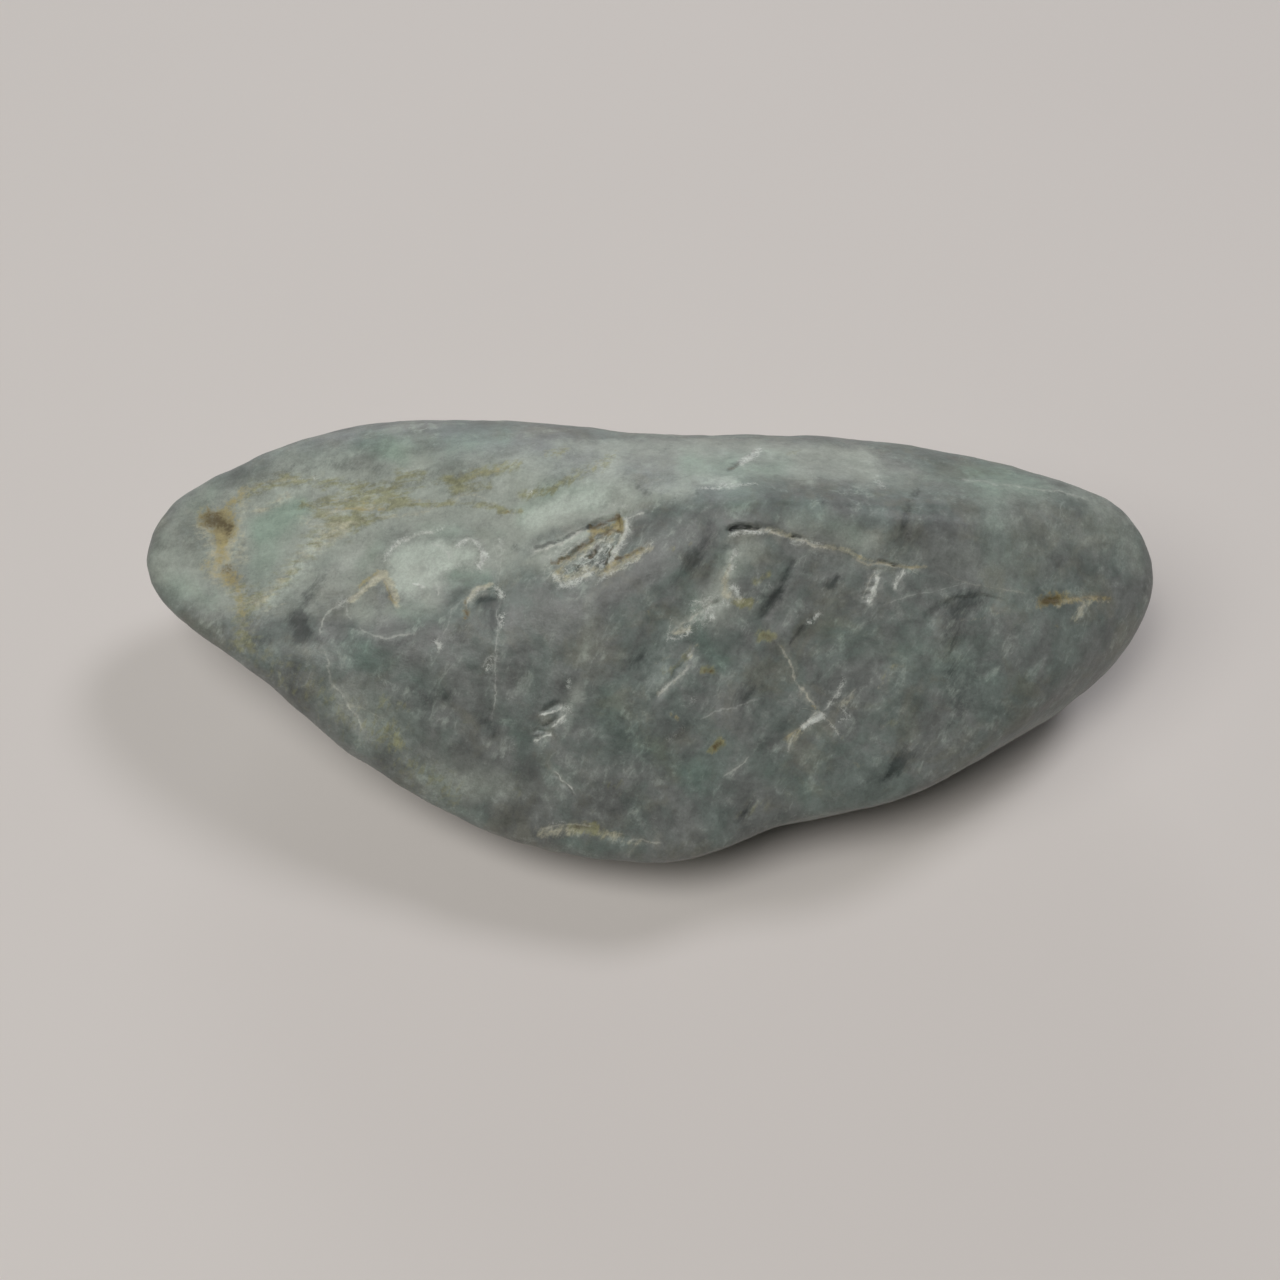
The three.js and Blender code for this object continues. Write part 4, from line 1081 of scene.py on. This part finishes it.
def closed_grid_faces(around, rings):
    """Four-sided faces between neighbouring rings, wrapped round, and a fan of triangles at each tip, all
    with their corners in the order that points them outwards. The two tips are the last two vertices."""
    this = np.arange(around)
    after = (this + 1) % around
    ring = np.arange(rings - 1)
    corner = this[:, None] * rings + ring
    across = after[:, None] * rings + ring
    quads = np.stack([corner, across, across + 1, corner + 1], axis=-1).reshape(-1, 4)
    left_tip = np.full(around, around * rings)
    left_fan = np.stack([left_tip, after * rings, this * rings], axis=-1)
    right_fan = np.stack([left_tip + 1, (this + 1) * rings - 1, (after + 1) * rings - 1], axis=-1)
    return quads.tolist() + left_fan.tolist() + right_fan.tolist()


def by_vertex(values):
    """A grid of values as a list by vertex: every ring's, then the left tip's and the right tip's."""
    inner = values[:, 1:-1]
    tips = np.stack([values[:, 0].mean(0), values[:, -1].mean(0)])
    return np.concatenate([inner.reshape((-1,) + inner.shape[2:]), tips])


def lay_values(mesh, name, values):
    """Stores one number for each vertex under a name that the material reads."""
    layer = mesh.attributes.new(name, "FLOAT", "POINT")
    layer.data.foreach_set("value", by_vertex(values).astype(np.float32))


def make_pebble():
    """The stone as one closed mesh, with its stains, painted shade and light, and threads stored at its
    vertices.
    """
    block, worn, normals, front = stone_grid()
    mesh = bpy.data.meshes.new("pebble_surface")
    mesh.from_pydata(by_vertex(worn) * MM, [], closed_grid_faces(AROUND, RINGS))
    mesh.shade_smooth()
    hidden = 1.0 - front.seen
    lay_values(mesh, "flow", flow(front))
    lay_values(mesh, "fresh_break", fresh_break(front))
    for kind, named in STAINS.items():
        lay_values(mesh, kind, soft_lines(front, named) + hidden * hidden_stains(kind, block))
    for layer, named in THREADS.items():
        offset, strength, rust = threads(front, named)
        if layer in WANDER_SIDES:
            side, seed = WANDER_SIDES[layer]
            drawing = Drawing(side, block, normals)
            other_offset, other_strength, other_rust = threads(drawing, wandering_threads(seed))
            stronger = other_strength * hidden > strength
            offset = np.where(stronger, other_offset, offset)
            rust = np.where(stronger, other_rust, rust)
            strength = np.where(stronger, other_strength * hidden, strength)
        for name, values in (("offset", offset), ("strength", strength), ("rust", rust)):
            lay_values(mesh, f"{layer}_thread_{name}", values)
    piece = bpy.data.objects.new("pebble_stone", mesh)
    bpy.context.scene.collection.objects.link(piece)
    return piece


# ---- Materials ----

def shade(red, green, blue):
    """A colour given as it shows on a display, 0 to 255, in the linear light that a shader takes."""
    parts = (value / 255.0 for value in (red, green, blue))
    return tuple(p / 12.92 if p <= 0.04045 else ((p + 0.055) / 1.055) ** 2.4 for p in parts) + (1.0,)


JADE_GREY = shade(112, 122, 117)
LILAC_GREY = shade(118, 122, 119)
WARM_GREY = shade(121, 121, 108)
THREAD_WHITE = shade(206, 210, 203)
THREAD_OCHRE = shade(156, 140, 97)
# Each stain: its colour, how it joins the jade, which noise breaks it up and how far, the strength that it
# reaches its full cover at, and that cover.
STAIN_LOOKS = {
    # The milk is milky jade, and on the front also painted sheen over the top and crest, and painted bounce
    # light on the lower left slope.
    "milk_and_painted_light": (shade(171, 178, 168), "MIX", "lumps", 0.25, 1.1, 0.88),
    "jade": (shade(233, 250, 243), "MULTIPLY", "lumps", 0.40, 1.0, 1.0),
    "pale": (shade(194, 204, 193), "MIX", "mottle", 0.35, 0.9, 0.88),
    "olive": (shade(146, 146, 108), "MIX", "wisps", 0.80, 0.9, 0.78),
    # The dark marks are dark streaks and blots in the jade, and also painted shade in the cracks and the chip
    # and along the left ridge.
    "dark": (shade(152, 156, 157), "MULTIPLY", "ragged", 0.85, 1.4, 1.0),
    "cream": (shade(194, 191, 167), "MIX", "tufts", 0.70, 1.0, 0.75),
    "white": (shade(208, 212, 206), "MIX", "hairs", 0.85, 1.0, 0.80),
    "ochre": (shade(161, 147, 97), "MIX", "flecks", 0.70, 0.95, 0.82),
    "rust": (shade(82, 70, 44), "MIX", "flecks", 0.70, 0.9, 0.88),
}
# The stains that are crystals or rust, which have more grain than the jade.
CRUSTS = ("cream", "white", "ochre", "rust", "olive")

# The frames that the noises are drawn in: the angles in degrees that a frame is turned by, and how far it is
# drawn out along its own axes. The fibres climb, or run level on the left end's top.
PLAIN = ((0, 0, 0), (1.0, 1.0, 1.0))
CLIMBING = ((0, -24, 57), (3.0, 1.0, 1.0))
LEVEL = ((0, 4, 6), (3.4, 1.0, 1.0))
FIBRES = (CLIMBING, LEVEL)
GREEN_CLOUDS = ((10, 20, 30), (1.0, 1.0, 1.0))
WARM_CLOUDS = ((50, 0, 70), (1.0, 1.0, 1.0))
ALONG_CHIP = ((0, 0, SPLINTER_TURN), (2.2, 1.0, 1.0))
# Each noise: its frame, or the fibres' two, the size of its largest lumps in mm, its detail, roughness and
# distortion, and the values that are stretched to 0 and 1.
NOISES = {
    "lumps": (PLAIN, 4.0, 6, 0.68, 0.3, 0.25, 0.75),
    "mottle": (PLAIN, 1.5, 6, 0.68, 0.3, 0.28, 0.72),
    "fibres": (FIBRES, 1.0, 6, 0.65, 0.2, 0.28, 0.72),
    "wisps": (FIBRES, 0.35, 5, 0.65, 0.2, 0.33, 0.67),
    "tufts": (FIBRES, 0.22, 4, 0.65, 0.2, 0.30, 0.70),
    "hairs": (FIBRES, 0.16, 4, 0.65, 0.2, 0.35, 0.85),
    "ragged": (CLIMBING, 0.6, 6, 0.8, 0.2, 0.30, 0.70),
    "flecks": (PLAIN, 0.35, 5, 0.7, 0.3, 0.30, 0.70),
    "sugar": (PLAIN, 0.12, 3, 0.6, 0.0, 0.3, 0.7),
}
# The finest white lines, which join the hairs: the noise that they are creases of, and their width.
HAIRLINES = (PLAIN, 0.8, 5, 0.75, 0.4)
HAIRLINE_WIDTH = 0.05
# Faint milky films, coarser and finer: their noise, width and cover, and the mottle that they show in.
VEILS = (
    ((CLIMBING, 3.0, 5, 0.6, 0.1), 0.030, 0.22),
    ((CLIMBING, 1.2, 5, 0.6, 0.1), 0.045, 0.18),
)
VEIL_MOTTLE = (0.45, 0.95)
# The clouds of the jade's body: the noise, the values that it turns from one grey to the other between, and
# how far it turns.
GREEN_BODY = ((GREEN_CLOUDS, 4.0, 6, 0.7, 0.4), (0.40, 0.60, 0.0, 1.0))
WARM_BODY = ((WARM_CLOUDS, 3.5, 6, 0.7, 0.4), (0.48, 0.65, 0.0, 0.5))

# How far each noise lightens or darkens the body under the marks, with LEVEL_SWING more for level fibres, and
# the whole surface after them, with CRUST_SWING times as much of the flecks on the crusts.
BODY_SWINGS = {"lumps": 0.22, "mottle": 0.13, "fibres": 0.16}
LEVEL_SWING = 0.14
LATER_SWINGS = {"mottle": 0.05, "fibres": 0.11, "flecks": 0.09, "sugar": 0.065}
CRUST_SWING = 2.5

# A thread, in half widths: how far it wobbles, where its line and its milky border end and are whole, and how
# strong the border is. How far wisps and mottle break a thread off.
THREAD_WOBBLE = 0.5
THREAD_LINE = (1.2, 0.1)
THREAD_BORDER = (4.5, 0.5, 0.0, 0.25)
THREAD_WISPS = (0.0, 0.7, 0.40, 1.0)
THREAD_MOTTLE = (0.1, 0.6, 0.45, 0.95)

# The chip's crystals: their size in mm, how far their greys differ, and the edge that flecks turn pale.
CRYSTAL_SIZE = 0.26
CRYSTAL_SWING = 0.55
CRYSTAL_EDGE = (0.14, 0.0)
EDGE_FLECKS = (0.35, 0.7, 0.0, 0.8)
NO_CHANGE = (0.5, 0.5, 0.5, 1.0)

# The jade's finish. The bump's height is a mix of flecks and sugar, with the crystals on top.
JADE_ROUGHNESS = (0.42, 0.54)
JADE_FINISH = {
    "IOR": 1.6,
    "Subsurface Weight": 0.25,
    "Subsurface Radius": (0.8, 1.0, 0.9),
    "Subsurface Scale": 0.5 * MM,
}
FLECK_HEIGHT = 0.7
SUGAR_HEIGHT = 0.3
CRYSTAL_HEIGHT = 5.0
BUMP = {"Strength": 0.35, "Distance": 0.03 * MM}

# The floor's clouds, the two shades that they turn between, and its finish.
FLOOR_CLOUDS = (PLAIN, 40.0, 3, 0.55, 0.0)
FLOOR_SHADES = (shade(225, 219, 215), shade(229, 223, 219))
FLOOR_ROUGHNESS = 0.65


class Recipe:
    """A material under way. Each step adds one node and returns the socket that carries its result."""

    def __init__(self, name):
        self.material = bpy.data.materials.new(name)
        self.material.use_nodes = True
        self.tree = self.material.node_tree
        self.tree.nodes.clear()
        self.surface = self.tree.nodes.new("ShaderNodeBsdfPrincipled")
        output = self.tree.nodes.new("ShaderNodeOutputMaterial")
        self.tree.links.new(self.surface.outputs[0], output.inputs["Surface"])

    def fill(self, socket, value):
        """Links a socket to another step, or sets it to a value."""
        if isinstance(value, bpy.types.NodeSocket):
            self.tree.links.new(value, socket)
        else:
            socket.default_value = value

    def step(self, kind, result, inputs, **settings):
        """One node of a kind, with its settings and inputs, and the output that is wanted."""
        node = self.tree.nodes.new(kind)
        for name, value in settings.items():
            setattr(node, name, value)
        for name, value in inputs.items():
            self.fill(node.inputs[name], value)
        return node.outputs[result]

    def place(self, turn, stretch):
        """Places on the stone, in a frame turned by angles in degrees and drawn out along its own axes."""
        here = self.step("ShaderNodeTexCoord", "Object", {})
        return self.step("ShaderNodeMapping", 0, {
            "Vector": here,
            "Rotation": tuple(math.radians(angle) for angle in turn),
            "Scale": stretch,
        }, vector_type="TEXTURE")

    def noise(self, place, size, detail, roughness, distortion):
        """Cloudy values from 0 to 1 in a frame, whose largest lumps are about size mm."""
        return self.step("ShaderNodeTexNoise", 0, {
            "Vector": self.place(*place),
            "Scale": 1.0 / (size * MM),
            "Detail": detail,
            "Roughness": roughness,
            "Distortion": distortion,
        })

    def stored(self, name):
        """The values stored at the stone's vertices under a name."""
        return self.step("ShaderNodeAttribute", "Fac", {}, attribute_name=name)

    def maths(self, operation, first, second=0.0):
        """One sum on two values."""
        return self.step("ShaderNodeMath", 0, {0: first, 1: second}, operation=operation)

    def times(self, first, *others):
        """The product of some values."""
        for other in others:
            first = self.maths("MULTIPLY", first, other)
        return first

    def ease(self, value, low, high, start=0.0, end=1.0):
        """start where value is below low, end where it is above high, and an even S between them."""
        return self.step("ShaderNodeMapRange", 0, {
            "Value": value,
            "From Min": low,
            "From Max": high,
            "To Min": start,
            "To Max": end,
        }, interpolation_type="SMOOTHSTEP")

    def between(self, amount, first, second):
        """The first value, turned into the second by amount."""
        return self.step("ShaderNodeMix", 0, {0: amount, 2: first, 3: second}, data_type="FLOAT")

    def blend(self, amount, first, second, mode="MIX"):
        """The first colour, turned into the second by amount."""
        inputs = {0: amount, 6: first, 7: second}
        return self.step("ShaderNodeMix", 2, inputs, data_type="RGBA", blend_type=mode)

    def creases(self, noise, width):
        """1 along the lines where a noise passes its middle value, easing to 0 within width of it."""
        return self.ease(self.maths("ABSOLUTE", self.maths("SUBTRACT", noise, 0.5)), width, 0.0)

    def swing(self, noise, reach):
        """A noise as a change of up to reach either way."""
        return self.times(self.maths("SUBTRACT", noise, 0.5), 2.0 * reach)

    def toned(self, colour, changes):
        """The colour, lightened or darkened by the sum of some changes around 1."""
        tone = 1.0
        for change in changes:
            tone = self.maths("ADD", change, tone)
        grey = self.step("ShaderNodeCombineColor", 0, {0: tone, 1: tone, 2: tone})
        return self.blend(1.0, colour, grey, "MULTIPLY")


def jade_noises(mix):
    """The noises that the jade's clouds, fibres and grain come from, each stretched to run from 0 to 1."""
    def drawn(place, *look):
        """One noise, in its frame or along the fibres."""
        if place != FIBRES:
            return mix.noise(place, *look)
        return mix.between(mix.stored("flow"), mix.noise(CLIMBING, *look), mix.noise(LEVEL, *look))

    noises = {}
    for name, (place, *look, low, high) in NOISES.items():
        noises[name] = mix.ease(drawn(place, *look), low, high)
    hairlines = mix.creases(mix.noise(*HAIRLINES), HAIRLINE_WIDTH)
    noises["hairs"] = mix.maths("MAXIMUM", hairlines, noises["hairs"])
    return noises


def jade_body(mix, noises):
    """Grey-green and warmer clouds in grey, lightened and darkened by lumps, mottle and fibres."""
    colour = LILAC_GREY
    for (noise, turn), grey in ((GREEN_BODY, JADE_GREY), (WARM_BODY, WARM_GREY)):
        colour = mix.blend(mix.ease(mix.noise(*noise), *turn), colour, grey)
    changes = [mix.swing(noises[name], reach) for name, reach in BODY_SWINGS.items()]
    changes.append(mix.times(mix.swing(noises["fibres"], LEVEL_SWING), mix.stored("flow")))
    return mix.toned(colour, changes)


def with_veils(mix, colour, noises):
    """Faint, broken milky films that hang in the jade along its fibres."""
    for noise, width, cover in VEILS:
        broken = mix.ease(noises["mottle"], *VEIL_MOTTLE, 0.0, cover)
        film = mix.times(mix.creases(mix.noise(*noise), width), broken)
        colour = mix.blend(film, colour, STAIN_LOOKS["pale"][0])
    return colour


def with_crystals(mix, colour, noises):
    """Where the stone has chipped, broken crystals of different greys, drawn out along the chip, with pale
    edges that come and go. Returns the colour and each crystal's height."""
    chip = mix.stored("fresh_break")
    settings = {"Vector": mix.place(*ALONG_CHIP), "Scale": 1.0 / (CRYSTAL_SIZE * MM), "Randomness": 1.0}
    grey = mix.blend(chip, NO_CHANGE, mix.step("ShaderNodeTexVoronoi", "Color", settings))
    edge = mix.step("ShaderNodeTexVoronoi", "Distance", settings, feature="DISTANCE_TO_EDGE")
    colour = mix.toned(colour, [mix.swing(grey, CRYSTAL_SWING)])
    pale_edge = mix.times(mix.ease(edge, *CRYSTAL_EDGE), mix.ease(noises["flecks"], *EDGE_FLECKS), chip)
    return mix.blend(pale_edge, colour, THREAD_WHITE), grey


def with_stains(mix, colour, noises):
    """Each stain, painted shade or painted light covers the jade where its stored strength is enough to rise
    above its noise.
    """
    for kind, (stain_colour, mode, noise, broken, full, cover) in STAIN_LOOKS.items():
        lost = mix.times(mix.maths("SUBTRACT", 1.0, noises[noise]), broken)
        amount = mix.ease(mix.maths("SUBTRACT", mix.stored(kind), lost), 0.0, full, 0.0, cover)
        colour = mix.blend(amount, colour, stain_colour, mode)
    return colour


def with_threads(mix, colour, noises):
    """Fine lines that wobble, swell and break off, each with a faint milky border."""
    wobble = mix.swing(noises["flecks"], THREAD_WOBBLE)
    present = mix.times(mix.ease(noises["wisps"], *THREAD_WISPS), mix.ease(noises["mottle"], *THREAD_MOTTLE))
    for layer in THREADS:
        offset = mix.maths("ABSOLUTE", mix.maths("ADD", mix.stored(layer + "_thread_offset"), wobble))
        line = mix.maths("MAXIMUM", mix.ease(offset, *THREAD_LINE), mix.ease(offset, *THREAD_BORDER))
        line = mix.times(line, mix.stored(layer + "_thread_strength"), present)
        shown = mix.blend(mix.stored(layer + "_thread_rust"), THREAD_WHITE, THREAD_OCHRE)
        colour = mix.blend(line, colour, shown)
    return colour


def with_grain(mix, colour, noises):
    """Mottle, fibres, flecks and sugar that show through the marks too: the fibres most in the milky jade and
    the painted light laid with it, and the flecks most in the crusts."""
    crust = mix.stored(CRUSTS[0])
    for kind in CRUSTS[1:]:
        crust = mix.maths("MAXIMUM", crust, mix.stored(kind))
    weights = {
        "fibres": mix.ease(mix.stored("milk_and_painted_light"), 0.2, 1.0),
        "flecks": mix.ease(crust, 0.0, 1.0, 1.0, CRUST_SWING),
    }
    changes = []
    for name, reach in LATER_SWINGS.items():
        change = mix.swing(noises[name], reach)
        changes.append(mix.times(change, weights[name]) if name in weights else change)
    return mix.toned(colour, changes)


def jadeite():
    """Worn jadeite: clouded and streaked jade, milky veils, the chip's crystals, the stains and threads that
    are stored on the stone, sugary grain, and a satin surface that light enters a little way."""
    mix = Recipe("worn_jadeite")
    noises = jade_noises(mix)
    colour = jade_body(mix, noises)
    colour = with_veils(mix, colour, noises)
    colour, crystals = with_crystals(mix, colour, noises)
    colour = with_stains(mix, colour, noises)
    colour = with_threads(mix, colour, noises)
    colour = with_grain(mix, colour, noises)
    mix.fill(mix.surface.inputs["Base Color"], colour)
    mix.fill(mix.surface.inputs["Roughness"], mix.ease(noises["mottle"], 0.0, 1.0, *JADE_ROUGHNESS))
    for name, value in JADE_FINISH.items():
        mix.surface.inputs[name].default_value = value
    flecks = mix.times(noises["flecks"], FLECK_HEIGHT)
    sugar = mix.times(noises["sugar"], SUGAR_HEIGHT)
    height = mix.maths("ADD", mix.maths("ADD", flecks, sugar), mix.times(crystals, CRYSTAL_HEIGHT))
    mix.fill(mix.surface.inputs["Normal"], mix.step("ShaderNodeBump", 0, {**BUMP, "Height": height}))
    return mix.material


def pale_table():
    """The plain pale floor: matt, with barely visible clouds."""
    mix = Recipe("pale_table")
    mix.fill(mix.surface.inputs["Base Color"], mix.blend(mix.noise(*FLOOR_CLOUDS), *FLOOR_SHADES))
    mix.surface.inputs["Roughness"].default_value = FLOOR_ROUGHNESS
    return mix.material


# ---- Stage: floor, lamps and camera ----

# Half the floor's width and the lamps' distance from the stone, in metres, and how brightly the floor is lit.
FLOOR_HALF = 1.2
LAMP_DISTANCE = 0.7
FLOOR_LIGHT = 2.36

# Each lamp: azimuth and elevation, width in metres, its share of the light on the floor, and its colour. The
# room adds a share of its own.
LAMPS = {
    "ceiling lamp": (235, 76, 0.30, 0.38, (1.0, 0.985, 0.965)),
    "left lamp": (205, 60, 0.44, 0.30, (1.0, 0.99, 0.94)),
    "rear lamp": (42, 54, 0.20, 0.23, (0.96, 0.955, 1.0)),
    "low rear window": (100, 11, 0.40, 0.065, (0.93, 0.97, 1.0)),
}
ROOM_LIGHT = 0.05
ROOM_TINT = (1.0, 0.99, 0.97, 1.0)

# The camera looks from the front and above, in degrees. Its distance and nearest visible place are in metres,
# and its lens and sensor in mm.
CAMERA_ELEVATION = 62
CAMERA_DISTANCE = 0.12
NEAREST = 0.005
LENS = 56.25
SENSOR = 36.0
# The frame's middle lies this far right of and above the stone's middle, in metres, across the line of sight.
FRAME_OFFSET = (-0.00059, -0.00035)


def make_floor():
    """A square sheet under the stone."""
    mesh = bpy.data.meshes.new("floor")
    corners = [(x * FLOOR_HALF, y * FLOOR_HALF, 0.0) for x, y in ((-1, -1), (1, -1), (1, 1), (-1, 1))]
    mesh.from_pydata(corners, [], [(0, 1, 2, 3)])
    mesh.materials.append(pale_table())
    floor = bpy.data.objects.new("floor", mesh)
    bpy.context.scene.collection.objects.link(floor)
    return floor


def facing(direction):
    """The turn that points an object's back, its +Z, along a direction, with its +X level."""
    back = np.array(direction)
    right = np.cross((0.0, 0.0, 1.0), back)
    right /= np.linalg.norm(right)
    return Matrix(np.stack([right, np.cross(back, right), back]).T.tolist())


def make_lamps():
    """Each lamp is a disc that faces the stone. Its power gives the floor its share of the light:
    share x floor light x pi x distance^2 / sin(elevation)."""
    for name, (azimuth, elevation, width, share, tint) in LAMPS.items():
        light = bpy.data.lights.new(name, "AREA")
        light.shape = "DISK"
        light.size = width
        light.color = tint
        light.energy = share * FLOOR_LIGHT * math.pi * LAMP_DISTANCE ** 2 / math.sin(math.radians(elevation))
        lamp = bpy.data.objects.new(name, light)
        out = unit(azimuth, elevation)
        lamp.matrix_world = Matrix.Translation(Vector(out * LAMP_DISTANCE)) @ facing(out).to_4x4()
        bpy.context.scene.collection.objects.link(lamp)


def make_room():
    """The faint light that comes from everywhere else."""
    world = bpy.data.worlds.new("room")
    world.use_nodes = True
    background = world.node_tree.nodes["Background"]
    background.inputs["Color"].default_value = ROOM_TINT
    background.inputs["Strength"].default_value = ROOM_LIGHT * FLOOR_LIGHT / math.pi
    bpy.context.scene.world = world


def make_camera():
    """The camera looks down at the stone's middle from the front."""
    out = unit(-90, CAMERA_ELEVATION)
    turn = facing(out)
    middle = Vector(DRAWING_MIDDLE * MM)
    across = turn.col[0] * FRAME_OFFSET[0] + turn.col[1] * FRAME_OFFSET[1]
    data = bpy.data.cameras.new("camera")
    data.lens = LENS
    data.sensor_width = SENSOR
    data.clip_start = NEAREST
    camera = bpy.data.objects.new("camera", data)
    camera.matrix_world = Matrix.Translation(middle + across + Vector(out) * CAMERA_DISTANCE) @ turn.to_4x4()
    bpy.context.scene.collection.objects.link(camera)
    bpy.context.scene.camera = camera


make_camera()
make_lamps()
make_room()
make_floor()

pebble = make_pebble()
pebble.data.materials.append(jadeite())
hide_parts("pebble")
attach(pebble, "root")

bpy.context.scene.view_settings.view_transform = "Standard"
